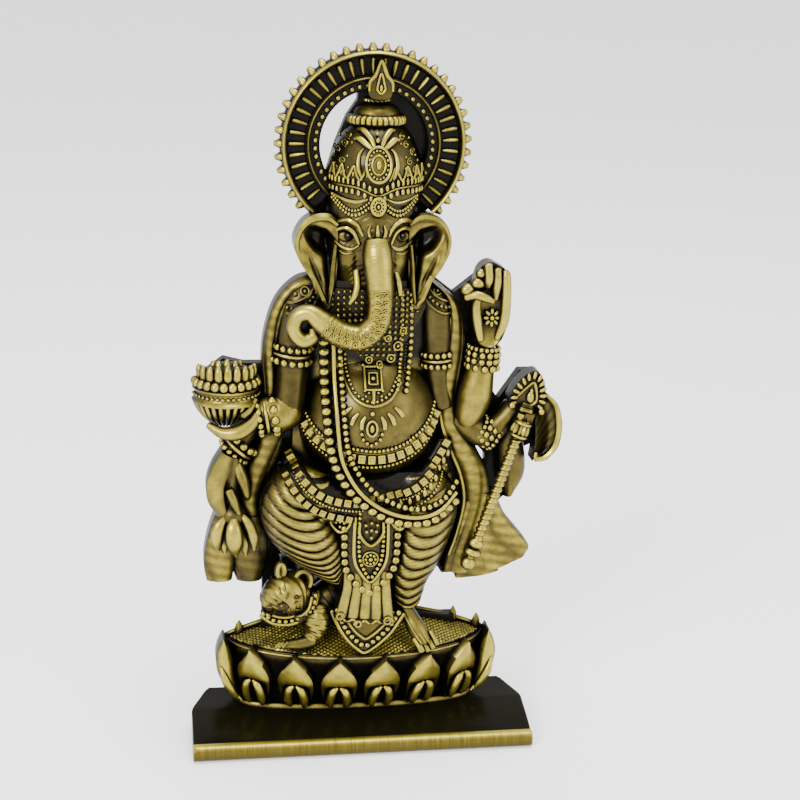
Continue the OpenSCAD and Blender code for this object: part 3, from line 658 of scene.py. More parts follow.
def petal_parts():
    """One petal at the origin: a broad pointed leaf with a crowned head and two prongs in a slot."""
    def leaf_height(u, v, x, z):
        head = np.interp(z, [5.2, 6.6, 14], [0, 1, 1])
        crown = (1 - np.abs(2 * u - 1) ** 2.4) * np.interp(z, [5, 7, 11, 14], [0.4, 1, 0.8, 0.3])
        slot = np.exp(-(((x / 2.2) ** 4 + ((z - 2.2) / 4.3) ** 4)))
        return -0.8 - 0.9 * crown * (0.35 + 0.65 * head) + 1.5 * slot

    def leaf_wear(u, v, x, z):
        side = np.abs(2 * u - 1) ** 6
        slot = np.exp(-(((x / 2.2) ** 4 + ((z - 2.2) / 4.3) ** 4)))
        return (0.62 + 0.42 * np.interp(z, [5.5, 8], [0, 1]) - 0.3 * side) * (1 - slot)

    width = np.array([(0, 2.5), (2.5, 3.1), (5.5, 3.6), (7.6, 3.6), (9.6, 2.9), (11.4, 1.7),
                      (12.8, 0.75), (13.9, 0.06)], float)
    leaf = np.stack([-width[:, 1], width[:, 0]], -1), width[:, ::-1]
    parts = [slab(*leaf, leaf_height, 1.2, rows=56, cols=30, wear_and_shading=leaf_wear)]
    for s in (-1, 1):
        parts.append(tube([[s * 0.35, -1.3, 6.6, 0.4], [s * 1.15, -1.45, 5.8, 0.85],
                           [s * 1.6, -1.4, 4, 0.95], [s * 1.7, -1.15, 2, 0.85], [s * 1.45, -0.8, 0.4, 0.5]],
                          sides=12, count=22, wear_and_shading=1.05))
    return parts


def placed(parts, x, y, z, lean=0.0, turn=0.0, wide=1.0):
    """The parts leant forward by lean and turned about Z by turn, in degrees, then moved."""
    a, b = math.radians(lean), math.radians(turn)
    tip = np.array([[1, 0, 0], [0, math.cos(a), -math.sin(a)], [0, math.sin(a), math.cos(a)]])
    spin = np.array([[math.cos(b), -math.sin(b), 0], [math.sin(b), math.cos(b), 0], [0, 0, 1]])
    move = np.concatenate([spin @ tip @ np.diag([wide, 1, 1]), [[x], [y], [z]]], 1)
    return [copies(p, move[None]) | {"w": p["w"]} for p in parts]


def front_petal_parts():
    """Six petals set round the front of the seat, each leaning out to the rim."""
    parts = []
    pitch, count = 8.25, 6
    for i in range(count):
        x = (i - (count - 1) / 2) * pitch
        foot_y = -4.9 + (x / 13) ** 2
        top_y = BACK_Y - 13 * math.sqrt(1 - min(abs(x) / 27, 1) ** 2) - 0.9
        lean = math.degrees(math.atan((foot_y - top_y) / 12))
        parts += placed(petal_parts(), SEAT_X + x * 0.99, foot_y, 6.5 + 0.3 * (x / 22) ** 2, lean,
                        math.degrees(math.asin(x / 40)))
    return parts


def outer_petal_parts():
    """End-on petals at both sides, and the tips of the ones behind."""
    parts = []
    for s in (-1, 1):
        outer = [(24.4, 7.4), (26.9, 10.2), (28.6, 13.4), (29.0, 16.4), (28.5, 18.8), (27.6, 20.8)]
        inner = [(23.4, 8.2), (24.7, 10.6), (25.3, 13.6), (25.6, 16.4), (26.2, 18.6), (27.3, 20.8)]
        rails = [[(SEAT_X + s * x, z) for x, z in rail] for rail in (outer, inner)]
        parts.append(slab(rails[0], rails[1], lambda u, v, x, z:
                          -1.2 - 2.6 * np.sin(np.pi * (0.08 + 0.84 * u)) ** 0.6 * (1 - 0.6 * v ** 3),
                          2.5, rows=40, cols=22, wear_and_shading=lambda u, v, x, z: 1.0 - 0.4 * np.abs(2 * u - 1) ** 4))
        parts.append(tube([[SEAT_X + s * 28.0, -3.4, 15.2, 0.3], [SEAT_X + s * 27.2, -4.0, 12.8, 0.85],
                           [SEAT_X + s * 25.9, -3.8, 10.2, 0.85], [SEAT_X + s * 24.5, -3.2, 8.0, 0.5]],
                          sides=12, count=26, wear_and_shading=1.0))
    tips = [(-24.6, 21.6, 1.0), (20.0, 23.2, 0.9), (25.0, 21.4, 1.0)]
    for x, z, r in tips:
        parts.append(tube([[x, 2.4, z - 1.6, r], [x, 2.3, z, r * 0.8], [x, 2.3, z + 1.2, 0.2]],
                          sides=10, count=12, flat=0.6, wear_and_shading=0.55))
    return parts


# ---------------------------------------------------------------- halo

HALO_Z = 121.0
HALO_GAP = 42
HALO_FACE = PLATE_FACE - 2.6


def halo_angles(count=45):
    """Angles of the rays: an even turn without the stretch that the head hides."""
    a = (np.arange(count) + 0.5) * 360 / count
    return np.radians(a[np.abs(a - 270) > HALO_GAP + 2])


def halo_sweep(profile, wear_and_shading):
    """A closed profile of (radius, y) carried round the halo from ear to ear."""
    prof = np.asarray(profile, float)
    a = np.radians(np.linspace(-90 + HALO_GAP, 270 - HALO_GAP, 150))[:, None]
    rows = np.stack([prof[:, 0] * np.cos(a), prof[:, 1] * np.ones_like(a),
                     HALO_Z + prof[:, 0] * np.sin(a)], -1)
    return loft(rows, wear_and_shading)


def ring_profile(r, y, w, d, count=12):
    """A flattened ring section of half width w that stands d forward of y."""
    a = np.linspace(0, 2 * np.pi, count, endpoint=False)
    return np.stack([r + w * np.cos(a), y - d * np.sin(a)], -1)


def halo_plate_parts():
    """One annular plate with a sunk face, carried round the gap at the neck."""
    outer = 17.6
    inner = 10.2
    face = HALO_FACE
    profile = [(inner, PLATE_FACE), (inner, face + 0.3), (inner + 0.3, face), (12.0, face),
               (12.9, face), (13.1, face + 0.7), (16.2, face + 0.7), (16.4, face),
               (outer - 0.2, face), (outer, face + 0.3), (outer, PLATE_FACE)]
    return [halo_sweep(profile, 0.3)]


def halo_ring_parts():
    """The bright outer ring and the thin inner one."""
    return [halo_sweep(ring_profile(16.95, HALO_FACE, 0.5, 1.1), 1.0),
            halo_sweep(ring_profile(12.4, HALO_FACE, 0.36, 0.8), 0.62)]


def spun(p, angles, radius, y):
    """The part laid radially round the halo, its Z axis pointing outwards."""
    centres = np.stack([radius * np.cos(angles), np.full_like(angles, y),
                        HALO_Z + radius * np.sin(angles)], -1)
    return copies(p, turned(centres, np.pi / 2 - angles), None)


def halo_ray_parts():
    """Short blunt teeth that stand out round the rim."""
    ray = tube([[0, 0, 0.05, 0.98], [0, 0, 0.9, 0.88], [0, 0, 1.7, 0.5]], sides=12, count=10,
               flat=1.3, ends=0.4)
    return [spun(ray, halo_angles(), 16.9, -0.3)]


def halo_spoke_parts():
    """Raised spokes between the two rings."""
    spoke = tube([[0, 0, 0.2, 0.36], [0, 0, 1.6, 0.5], [0, 0, 2.9, 0.5]], sides=8, count=8,
                 flat=1.4, ends=0.8)
    spokes = spun(spoke, halo_angles(), 13.0, PLATE_FACE - 2.3)
    spokes["w"] = np.full(len(spokes["v"]), 0.85)
    return [spokes]


def halo_bead_parts():
    """A ring of beads inside the inner ring."""
    a = halo_angles(46)
    centres = np.stack([11.1 * np.cos(a), np.full_like(a, PLATE_FACE - 2.8),
                        HALO_Z + 11.1 * np.sin(a)], -1)
    return [beads(centres, 0.52, wear_and_shading=0.8)]


# ---------------------------------------------------------------- crown

CROWN_X = 0.65
CROWN_Y = 1.5


def crown_radius(z):
    """Radius of the dome at height z, through its few design points: an egg shape."""
    return np.interp(z, [108, 110, 112, 114, 116, 118, 119.5, 121, 122.2, 123.4, 124.3, 124.9],
                     [8.3, 8.8, 9.15, 9.25, 9.15, 8.85, 8.4, 7.75, 7.1, 6.2, 5.3, 4.7])


def on_crown(x, z, proud=0.0):
    """Depth of the dome's surface in front of x at height z, less proud."""
    r = crown_radius(np.asarray(z, float))
    across = np.asarray(x, float) - CROWN_X
    return CROWN_Y - np.sqrt(np.maximum(r ** 2 - across ** 2, 0.4)) - proud


def draped(points, surface, proud, radius=None):
    """Points (x, z) or (x, z, r) laid on a surface y(x, z), standing proud of it."""
    p = np.asarray(points, float)
    y = surface(p[:, 0], p[:, 1]) - proud
    cols = [p[:, 0], y, p[:, 1]]
    if p.shape[1] > 2:
        cols.append(p[:, 2])
    elif radius is not None:
        cols.append(np.full(len(p), radius))
    return np.stack(cols, -1)


def crown_dome_parts():
    """The egg-shaped dome, gently panelled."""
    z = np.linspace(110.6, 124.9, 60)
    panel = lambda p, zz: 0.12 * np.cos(2 * p) * np.sin((zz - 117) * 0.6)
    return [lathe(np.stack([crown_radius(z), z], -1), CROWN_Y, x=CROWN_X, count=64, ripple=panel, wear_and_shading=0.5)]


def crown_cap_parts():
    """Cap dome, gadrooned band of upright ribs, and the small corded ring under the finial."""
    def ribs(p, z):
        band = np.exp(-((z - 125.6) / 0.9) ** 4)
        ring = np.exp(-((z - 129.1) / 0.45) ** 4)
        return 0.4 * np.abs(np.cos(15 * p)) * band + 0.28 * np.abs(np.cos(9 * p + 1.2 * z)) * ring
    profile = [(4.6, 124.2), (4.9, 124.4), (5.2, 124.7), (5.35, 125.1), (5.35, 125.9), (5.2, 126.4),
               (4.9, 126.6), (4.5, 126.7), (4.45, 127.0), (4.1, 127.6), (3.4, 128.2), (2.6, 128.5),
               (2.1, 128.6), (2.3, 128.75), (2.45, 129.1), (2.3, 129.5), (1.8, 129.7), (1.0, 129.75)]
    fine = spline(profile, 90)
    worn_and_shaded = np.interp(fine[:, 1], [124.2, 124.6, 126.4, 126.7, 128.5, 128.7, 129.6],
                     [0.8, 1, 1, 0.5, 0.5, 1, 1])
    return [lathe(fine, CROWN_Y, x=CROWN_X, count=121, ripple=ribs, wear_and_shading=worn_and_shaded[:, None] * np.ones((1, 121)))]


def crown_finial_parts():
    """A flame with waisted shoulders, a raised outline and a drop in the middle."""
    cx = CROWN_X + 0.1
    outline = [(-1.5, 129.8), (-2.2, 131.2), (-2.1, 132.8), (-1.2, 133.9), (-0.75, 134.9), (-0.45, 135.8),
               (0, 136.6), (0.45, 135.8), (0.75, 134.9), (1.2, 133.9), (2.1, 132.8), (2.2, 131.2),
               (1.5, 129.8)]
    pts = [(cx + x, z) for x, z in outline]
    skin = lambda x, z: -3.0 + 0.04 * (z - 130) + 0 * x
    plate = pillow(pts, (cx, 132.2), lambda q, x, z: skin(x, z), 1.2, rings=14, count=80, wear_and_shading=0.35)
    edge = brass_line(pts[1:-1], skin, 0.1, [0.24, 0.36, 0.4, 0.34, 0.3, 0.26, 0.34, 0.4, 0.36, 0.3, 0.24])
    drop = [(-0.75, 131.4), (-0.6, 132.4), (0, 134.4), (0.6, 132.4), (0.75, 131.4), (0, 130.7)]
    loop = ring_tube(spline(np.array([(cx + x, z) for x, z in drop] + [(cx + drop[0][0], drop[0][1])]),
                            30)[:-1], skin, 0.15, 0.24)
    return [plate, edge, loop, beads([[cx, float(skin(cx, 131.8)) - 0.2, 131.7]], 0.42, (0.8, 0.8, 1.7))]


def oval(cx, cz, rx, rz, count):
    """Points (x, z) round an ellipse."""
    a = np.linspace(0, 2 * np.pi, count, endpoint=False)
    return np.stack([cx + rx * np.cos(a), cz + rz * np.sin(a)], -1)


def ring_tube(points, surface, proud, r, sides=8, wear_and_shading=1.0):
    """A closed ring of tube draped on a surface."""
    p = draped(points, surface, proud)
    _, side, forward = path_frames(np.vstack([p[-1:], p, p[:1]]))
    side, forward = side[1:-1], forward[1:-1]
    a = np.linspace(0, 2 * np.pi, sides, endpoint=False)
    rows = p[:, None] + r * (side[:, None] * np.cos(a)[:, None] + forward[:, None] * np.sin(a)[:, None])
    n = len(p)
    i, k = np.meshgrid(np.arange(n), np.arange(sides), indexing="ij")
    q = np.stack([i * sides + k, i * sides + (k + 1) % sides,
                  (i + 1) % n * sides + (k + 1) % sides, (i + 1) % n * sides + k], -1).reshape(-1, 4)
    return outward(part(rows.reshape(-1, 3), q, (), wear_and_shading))


def medallion(cx, cz, rx, rz, surface, lift, dots, wear_and_shading=1.0):
    """An oval boss: raised rim, a ring of dots inside it and a long gem in the middle."""
    plate = pillow(oval(cx, cz, rx, rz, 32), (cx, cz), lambda q, x, z:
                   surface(x, z) - lift + 0.15 * np.exp(-((q - 0.75) / 0.15) ** 2),
                   surface(cx, cz) + 2.5, rings=10, count=48, wear_and_shading=0.6 * wear_and_shading, closed_spline=False)
    rim = ring_tube(oval(cx, cz, rx * 0.93, rz * 0.93, 48), surface, lift + 0.1, 0.3, wear_and_shading=wear_and_shading)
    inner = ring_tube(oval(cx, cz, rx * 0.5, rz * 0.5, 32), surface, lift + 0.1, 0.2, wear_and_shading=wear_and_shading)
    around = draped(oval(cx, cz, rx * 0.72, rz * 0.74, dots), surface, lift + 0.1)
    gem = beads([[cx, float(surface(cx, cz)) - lift - 0.2, cz]], 0.62, (rx * 0.34, 0.6, rz * 0.42),
                lat=8, lon=14)
    return [plate, rim, inner, beads(around, 0.26, wear_and_shading=wear_and_shading), gem]


def curl(x, z, turns, size, flip, surface, proud, r=0.2, wear_and_shading=1.0):
    """A small scroll: a spiral whose radius shrinks along its turns."""
    t = np.linspace(0, 1, 26)
    a = flip * (np.pi / 2 + 2 * np.pi * turns * t)
    rad = size * (1 - 0.8 * t)
    pts = np.stack([x + rad * np.cos(a), z + rad * np.sin(a)], -1)
    way = draped(pts, surface, proud)
    return tube(np.concatenate([way, np.full((len(way), 1), r)], 1), sides=6, count=30, wear_and_shading=wear_and_shading)


def crown_crest_parts():
    """Oval medallion with four plume leaves over it and two leaves beside it."""
    parts = medallion(0.0, 118.3, 2.45, 3.4, on_crown, 0.9, 18)
    plumes = [[(0.7, 121.4), (1.3, 122.8), (2.4, 124.0), (3.3, 124.2)],
              [(1.1, 121.0), (2.2, 121.9), (3.2, 122.6), (4.1, 122.6)]]
    for s in (-1, 1):
        for path in plumes:
            pts = np.array([[s * x, z] for x, z in path])
            way = draped(pts, on_crown, 0.75)
            r = np.array([0.35, 0.55, 0.62, 0.3])[:, None]
            parts.append(tube(np.hstack([way, r]), sides=10, count=24, flat=0.8))
        side_leaf = draped([[s * 2.9, 115.6], [s * 3.6, 117.6], [s * 3.4, 119.8], [s * 2.6, 121.0]],
                           on_crown, 0.2)
        parts.append(tube(np.hstack([side_leaf, [[0.25], [0.5], [0.42], [0.2]]]), sides=8, count=24,
                          wear_and_shading=0.8))
    parts.append(beads(draped([[0, 122.4], [0, 123.6]], on_crown, 0.6), [0.55, 0.4],
                       (0.8, 0.8, 1.2)))
    return parts


def crown_bead_row_parts():
    """Pointed arches, a row of pear-shaped beads, a corded band and a lower row of beads."""
    parts = []
    def around(count, z, reach=80):
        p = np.radians(np.linspace(-reach, reach, count))
        r = crown_radius(z)
        return np.stack([CROWN_X + r * np.sin(p), CROWN_Y - (r + 0.15) * np.cos(p), np.full(count, z)], -1)
    for c in np.linspace(-68, 68, 9):
        if abs(c) < 12:
            continue
        p = np.radians(np.array([-7.5, -4, 0, 4, 7.5]) + c)
        z = np.array([115.4, 116.4, 117.8, 116.4, 115.4])
        r = crown_radius(z) + 0.15
        way = np.stack([CROWN_X + r * np.sin(p), CROWN_Y - r * np.cos(p), z, np.full(5, 0.27)], -1)
        parts.append(tube(way, sides=6, count=20))
        parts.append(beads(way[2:3, :3] - [0, 0, 1.5], 0.4, (0.8, 0.8, 1.5), wear_and_shading=0.9))
    dip = lambda p, z: z - 1.5 * np.exp(-((p[:, 0]) / 2.6) ** 2)
    upper = around(25, 114.7)
    upper[:, 2] = dip(upper, 115.0)
    parts.append(beads(upper, 0.5, (0.78, 0.9, 1.45), lat=5, lon=8))
    cord = around(60, 113.9)
    cord[:, 2] = dip(cord, 114.1)
    parts.append(tube(np.hstack([cord, np.full((60, 1), 0.22)]), sides=6, count=90, wear_and_shading=0.7))
    lower = around(22, 112.9)
    lower[:, 2] = dip(lower, 113.2)
    parts.append(beads(lower, 0.52, (0.85, 0.9, 1.25), lat=5, lon=8))
    for s in (-1, 1):
        for x, z, n, f in [(6.2, 118.6, 1.2, 1), (6.9, 120.4, 1.2, -1), (5.6, 121.6, 1.2, 1),
                           (7.4, 117.2, 1.2, -1), (4.9, 123.0, 1.2, 1), (6.2, 116.6, 1, 1)]:
            parts.append(curl(s * x, z, n, 0.62, s * f, on_crown, 0.12, r=0.17, wear_and_shading=0.72))
        dots = [[s * x, z] for x, z in [(5.4, 119.4), (7.9, 118.6), (6.3, 122.6), (5.3, 117.4),
                                        (7.4, 119.6), (4.5, 121.8)]]
        parts.append(beads(draped(dots, on_crown, 0.1), 0.26, wear_and_shading=0.75))
    return parts


# ---------------------------------------------------------------- head

def bump(value, middle, width):
    """A bell: exp(-((value - middle) / width)^2)."""
    return np.exp(-((value - middle) / width) ** 2)


def head_y(x, z):
    """Depth of the face: a barrel, plus trunk root, cheeks, brow swell and eye sockets."""
    depth = np.interp(z, [92, 95, 99, 104, 108, 111.5], [4.2, 6.4, 7.6, 8.4, 8.9, 8.8])
    barrel = np.sqrt(np.clip(1 - (x / 9.1) ** 2, 0.02, 1))
    side = np.abs(x - 0.1)
    y = 1.6 - depth * barrel
    y = y - 1.2 * bump(x, 0.2, 2.6) * np.interp(z, [100, 105, 109], [1.2, 1, 0])
    y = y + 1.25 * bump(side, 5.2, 1.7) * bump(z, 104.4, 1.9)
    y = y - 0.7 * bump(side, 5.0, 2.2) * bump(z, 107.6, 1.2)
    y = y - 0.8 * bump(side, 5.4, 2.0) * bump(z, 99.6, 2.6)
    return y + 0.5 * bump(side, 3.3, 0.8) * bump(z, 100, 4)


def head_parts():
    """The face between its two side rails."""
    left = [(-7.6, 93.2), (-8.3, 96), (-8.7, 100), (-8.8, 104), (-8.9, 108), (-8.8, 111.4)]
    right = [(7.6, 93.2), (8.2, 96), (8.6, 100), (8.8, 104), (8.9, 108), (8.8, 111.4)]
    wrinkle = lambda x, z: 0.06 * np.sin(5.5 * (z + 0.12 * x * x)) * bump(np.abs(x), 2.6, 2.4)
    face = slab(left, right, lambda u, v, x, z: head_y(x, z) + wrinkle(x, z), PLATE_FACE,
                rows=110, cols=80, wear_and_shading=lambda u, v, x, z: 0.62 + 0.2 * bump(z, 99, 5) + 0 * u)
    return [face]


def brass_line(points, surface, proud, r, sides=7, wear_and_shading=1.0, flat=1.0):
    """A raised line laid on a surface: points are (x, z), r one radius or one per point."""
    pts = np.asarray(points, float)
    way = draped(spline(pts, 6 * len(pts)), surface, proud)
    radius = np.interp(np.linspace(0, 1, len(way)), np.linspace(0, 1, np.size(r)), np.ravel(r)) \
        if np.size(r) > 1 else np.full(len(way), float(np.ravel(r)[0]))
    return tube(np.hstack([way, radius[:, None]]), sides=sides, count=len(way) * 2, flat=flat,
                wear_and_shading=wear_and_shading)


def eye_parts():
    """Eyeballs with dark pupils between lids, and the brow folds over them."""
    parts = []
    for s in (-1, 1):
        m = lambda pts: [(s * x, z) for x, z in pts]
        parts.append(beads([[s * 5.3, float(head_y(s * 5.3, 104.3)) - 0.05, 104.3]], 1.0,
                           (1.5, 0.75, 1.15), lat=12, lon=20, wear_and_shading=0.45))
        look = s * 5.2 + 0.25
        parts.append(beads([[look, float(head_y(look, 104.4)) - 0.6, 104.4]], 1.0,
                           (0.78, 0.5, 0.8), lat=8, lon=18, wear_and_shading=0.02))
        # A tiny bright bead on each pupil: a painted highlight, the glint in the eye.
        parts.append(beads([[look - 0.1, float(head_y(look, 104.7)) - 1.05, 104.7]], 0.17, wear_and_shading=1.0))
        parts.append(brass_line(m([(7.8, 103.6), (7.0, 105.4), (5.4, 106.1), (4, 105.3), (3.0, 103.2)]),
                                head_y, 0.25, [0.2, 0.42, 0.46, 0.4, 0.22]))
        parts.append(brass_line(m([(7.4, 103.4), (6.4, 102.5), (5.2, 102.1), (4.1, 102.2), (3.1, 102.9)]),
                                head_y, 0.2, [0.18, 0.34, 0.38, 0.34, 0.2], wear_and_shading=0.9))
        parts.append(brass_line(m([(8.0, 105.3), (7.1, 107.0), (5.3, 107.8), (3.7, 107.0), (2.4, 104.9)]),
                                head_y, 0.15, [0.2, 0.42, 0.5, 0.42, 0.2]))
        parts.append(brass_line(m([(7.3, 102.2), (5.8, 101.2), (4.1, 101.4)]), head_y, 0.05,
                                [0.12, 0.26, 0.12], wear_and_shading=0.7))
    return parts


def forehead_mark_parts():
    """A plain three-leaf ornament: two outer leaves that bend in and one upright between them."""
    at = lambda pts: [(0.1 + x, z) for x, z in pts]
    parts = [brass_line(at([(0, 104.4), (0, 105.6), (0, 107.1)]), head_y, 0.25, [0.3, 0.4, 0.16])]
    for s in (-1, 1):
        parts.append(brass_line(at([(0, 104.1), (s * 1.1, 104.5), (s * 1.6, 105.8), (s * 1.3, 107.0)]),
                                head_y, 0.25, [0.26, 0.36, 0.32, 0.14]))
    parts.append(beads(draped([(0.1, 103.6)], head_y, 0.3), 0.4))
    return parts


def forehead_chain_parts():
    """The jewel in its rim, two swagged chains a side, and the smooth bands over them."""
    face = lambda x, z: np.minimum(head_y(x, z), on_crown(x, np.minimum(z, 113)))
    parts = medallion(0.15, 110.6, 1.35, 1.75, face, 0.7, 12)
    for s in (-1, 1):
        for drop, r, pitch in ((0, 0.3, 0.62), (0.95, 0.36, 0.72)):
            t = np.linspace(0, 1, 9)
            pts = np.stack([s * (1.5 + 6.4 * t), 111.2 - drop * (1 - 0.3 * t)
                            - 2.1 * np.sin(np.pi * t) + 0.9 * t], -1)
            row = even(draped(pts, face, 0.3), pitch)
            parts.append(beads(row, r, (1, 0.9, 1)))
        lid = [(1.8, 111.9), (3.6, 111.2), (5.8, 111.4), (8.1, 112.3)]
        parts.append(brass_line([(s * x, z) for x, z in lid], face, 0.05, [0.2, 0.34, 0.3, 0.2],
                                wear_and_shading=0.85))
    return parts


def ear_parts(side):
    """A hollowed leaf with a rolled top rim, a smooth lower sweep and a fold to the pointed lobe."""
    outline = [(7.2, 107.2), (9.2, 108.2), (11.6, 107.9), (13.7, 106.2), (14.9, 103.6),
               (14.7, 101.2), (13.4, 98.6), (11.8, 96.2), (10.6, 93.6), (9.4, 90.9),
               (8.4, 90.2), (7.4, 92.2), (7.0, 96), (6.8, 100), (6.8, 104)]
    pts = [(side * x, z) for x, z in outline]
    def pit(x, z):
        a = np.abs(x)
        return np.exp(-(((a - 9.8) / 3.0) ** 2 + ((z - 103.2 - 0.5 * (a - 9.8)) / 2.2) ** 2) ** 2)
    def cleft(x, z):
        a = np.abs(x)
        return np.exp(-((a - 8.3 - 0.10 * (z - 97)) / 0.7) ** 2) \
            * np.interp(z, [91, 94, 103, 106], [0.2, 1, 1, 0])
    def crease(x, z):
        return np.exp(-((np.abs(x) - 11.0 - 0.42 * (z - 98)) / 0.5) ** 2) \
            * np.interp(z, [94, 96, 100, 102], [0, 1, 1, 0])
    def height(q, x, z):
        sweep = -0.9 * np.exp(-(((np.abs(x) - 12.2) / 2.0) ** 2 + ((z - 99.4) / 4.5) ** 2))
        return -4.6 + 2.2 * pit(x, z) + 1.1 * cleft(x, z) + 0.5 * crease(x, z) + sweep + 0.02 * (z - 90)
    leaf = pillow(pts, (side * 10.4, 100.5), height, PLATE_FACE, rings=40, count=140,
                  wear_and_shading=lambda q, x, z: np.clip(0.84 - 0.74 * pit(x, z) - 0.65 * cleft(x, z)
                                               - 0.4 * crease(x, z) + 0.1 * np.sin(2.4 * z + x), 0, 1))
    skin = lambda x, z: -4.6 + 0.02 * (z - 90)
    rim = [(6.9, 106.6), (8.8, 107.9), (11.4, 107.7), (13.4, 106.2), (14.5, 103.6), (14.2, 101.2),
           (13.0, 98.6), (11.5, 96.2)]
    lobe = [(11.8, 97.6), (10.6, 94.8), (9.5, 92.2), (8.7, 90.9)]
    m = lambda p: [(side * x, z) for x, z in p]
    return [leaf, brass_line(m(rim), skin, 0.15, [0.5, 0.85, 0.8, 0.62, 0.45, 0.36, 0.3, 0.2]),
            brass_line(m(lobe), skin, 0.1, [0.3, 0.7, 0.75, 0.3]),
            brass_line(m([(7.2, 102.6), (7.6, 98.5), (7.8, 95), (8.3, 91.4)]), skin, 0.1,
                       [0.3, 0.45, 0.5, 0.25], wear_and_shading=0.75)]


TRUNK = [(0.0, -7.9, 104.2, 2.3), (0.05, -8.7, 102.0, 2.8), (0.3, -9.2, 99.5, 2.8),
         (0.6, -9.6, 96, 2.6), (0.75, -9.8, 92, 2.5), (0.1, -9.8, 88.6, 2.5),
         (-2.6, -9.6, 86.1, 2.6), (-6.2, -9.2, 86.5, 2.6), (-9.2, -8.7, 88.2, 2.5)]


COIL = [(-8.2, -8.8, 87.5, 2.5), (-10.2, -8.5, 89.0, 2.2), (-12.2, -8.1, 90.4, 1.75),
        (-14.2, -7.8, 90.0, 1.6), (-15.2, -7.7, 88.2, 1.5), (-14.8, -7.7, 86.2, 1.5),
        (-13.2, -7.8, 85.0, 1.5), (-11.6, -7.9, 85.9, 1.3), (-11.5, -8.0, 87.3, 0.9)]


def on_trunk(s, across):
    """A point on the trunk's front: along its path by s (0 to 1), aside by across."""
    way = spline(TRUNK, 200)
    _, side, forward = path_frames(way[:, :3])
    i = int(s * 199)
    r = way[i, 3]
    lift = math.sqrt(max(r * r - across * across, 0.05))
    return way[i, :3] - side[i] * across + forward[i] * -1 * lift * np.sign(forward[i][1])


def trunk_parts():
    """The trunk hangs, bends left and coils; a ladder of paired curls runs down its front."""
    crease = lambda s, a: 1 - 0.012 * (np.cos(240 * s) > 0.82) * (np.sin(a) < 0.9)
    parts = [tube(TRUNK, sides=28, count=150, ripple=crease, wear_and_shading=0.95, ends=0.1),
             tube(COIL, sides=20, count=120, wear_and_shading=1.0, ends=0.5)]
    parts.append(pillow(oval(-13.0, 87.8, 2.4, 3.4, 24), (-13.0, 87.8), lambda q, x, z: -6.4 + 0 * q,
                        PLATE_FACE, rings=6, count=32, wear_and_shading=0.05, closed_spline=False))
    for s in np.linspace(0.42, 0.985, 13):
        for side in (-1, 1):
            a = np.linspace(0.2, 5.6, 11)
            r = 0.62 - 0.045 * a
            pts = [on_trunk(float(np.clip(s + 0.016 * ri * math.sin(ai) * side, 0.02, 0.99)),
                            side * (0.86 - ri * 0.9 * math.cos(ai))) for ri, ai in zip(r, a)]
            pts = np.hstack([np.array(pts), np.full((11, 1), 0.19)])
            pts[:, 1] -= 0.1
            parts.append(tube(pts, sides=6, count=18, wear_and_shading=1.0))
            dot = on_trunk(min(s + 0.02, 0.99), side * 1.7)
            parts.append(beads([dot], 0.24, wear_and_shading=0.95))
        mid = on_trunk(min(s + 0.02, 0.99), 0.0) + [0, -0.1, 0]
        parts.append(beads([mid], 0.26, wear_and_shading=1.0))
    for s in (0.4, 0.41):
        bar = np.array([on_trunk(s, d) for d in (-1.5, -0.7, 0, 0.7, 1.5)])
        parts.append(tube(np.hstack([bar, [[0.17]] * 5]), sides=6, count=12, wear_and_shading=1.0))
    return parts


def tusk_parts():
    """Two tusks: the left one curves in under the trunk, the right one is short."""
    left = [(-3.5, -7.2, 98.2, 0.75), (-3.4, -8.3, 96, 0.78), (-3.9, -8.9, 94, 0.66),
            (-4.9, -9.0, 92.4, 0.3)]
    right = [(4.0, -7.0, 97.6, 0.7), (4.4, -8.2, 95.8, 0.72), (4.7, -8.6, 94.0, 0.5)]
    return [tube(left, sides=14, count=30), tube(right, sides=14, count=24)]


# ---------------------------------------------------------------- torso and its ornaments

def torso_y(x, z):
    """Depth of the body: the ball of the belly, the flatter chest over it and the flanks."""
    inside = np.maximum(15 ** 2 - (x - 0.6) ** 2 - (z - 67.5) ** 2, 0)
    belly = 3.7 - np.sqrt(inside)
    chest = np.where(z > 74, -4.6 + 0.02 * (x - 0.3) ** 2, 1.5)
    flank = -2.3 + 0.004 * (x - 0.6) ** 2
    folds = 0.3 * bump(z + 0.03 * (x - 4) ** 2, 66.4, 0.5) * bump(x, 8, 5)
    navel = 0.5 * bump(x, 4.6, 0.9) * bump(z, 65.6, 0.7)
    return np.minimum(np.minimum(belly + folds + navel, chest), flank)


def torso_parts():
    """Chest and belly in one relief; the chest is painted dark as shadow, and the belly darkens towards its
    lower edge in painted shade.
    """
    left = [(-14.3, 54), (-14.5, 60), (-14.3, 67), (-13.2, 74), (-12.2, 81), (-11.8, 89), (-8, 95.6)]
    right = [(16, 54), (15.8, 60), (15.2, 67), (14, 74), (12.4, 81), (12, 89), (8, 95.6)]
    # Painted shade: the chest above the belly's edge is held dark where shadow falls on it, and the lower
    # belly darkens towards the belt in the shade under the belly.
    return [slab(left, right, lambda u, v, x, z: torso_y(x, z), PLATE_FACE, rows=110, cols=90,
                 wear_and_shading=lambda u, v, x, z: np.interp(z, [55, 62, 79, 80.5, 95], [0.5, 0.75, 0.72, 0.2, 0.2])
                 + 0 * u)]


def string(points, surface, proud, radius, pitch, shape=(1, 1, 1), wear_and_shading=1.0, lat=4, lon=8):
    """A row of beads on a surface, a pitch apart along the curve through the (x, z) points."""
    way = even(draped(spline(points, 12 * len(points)), surface, proud), pitch)
    return beads(way, radius, shape, lat, lon, wear_and_shading)


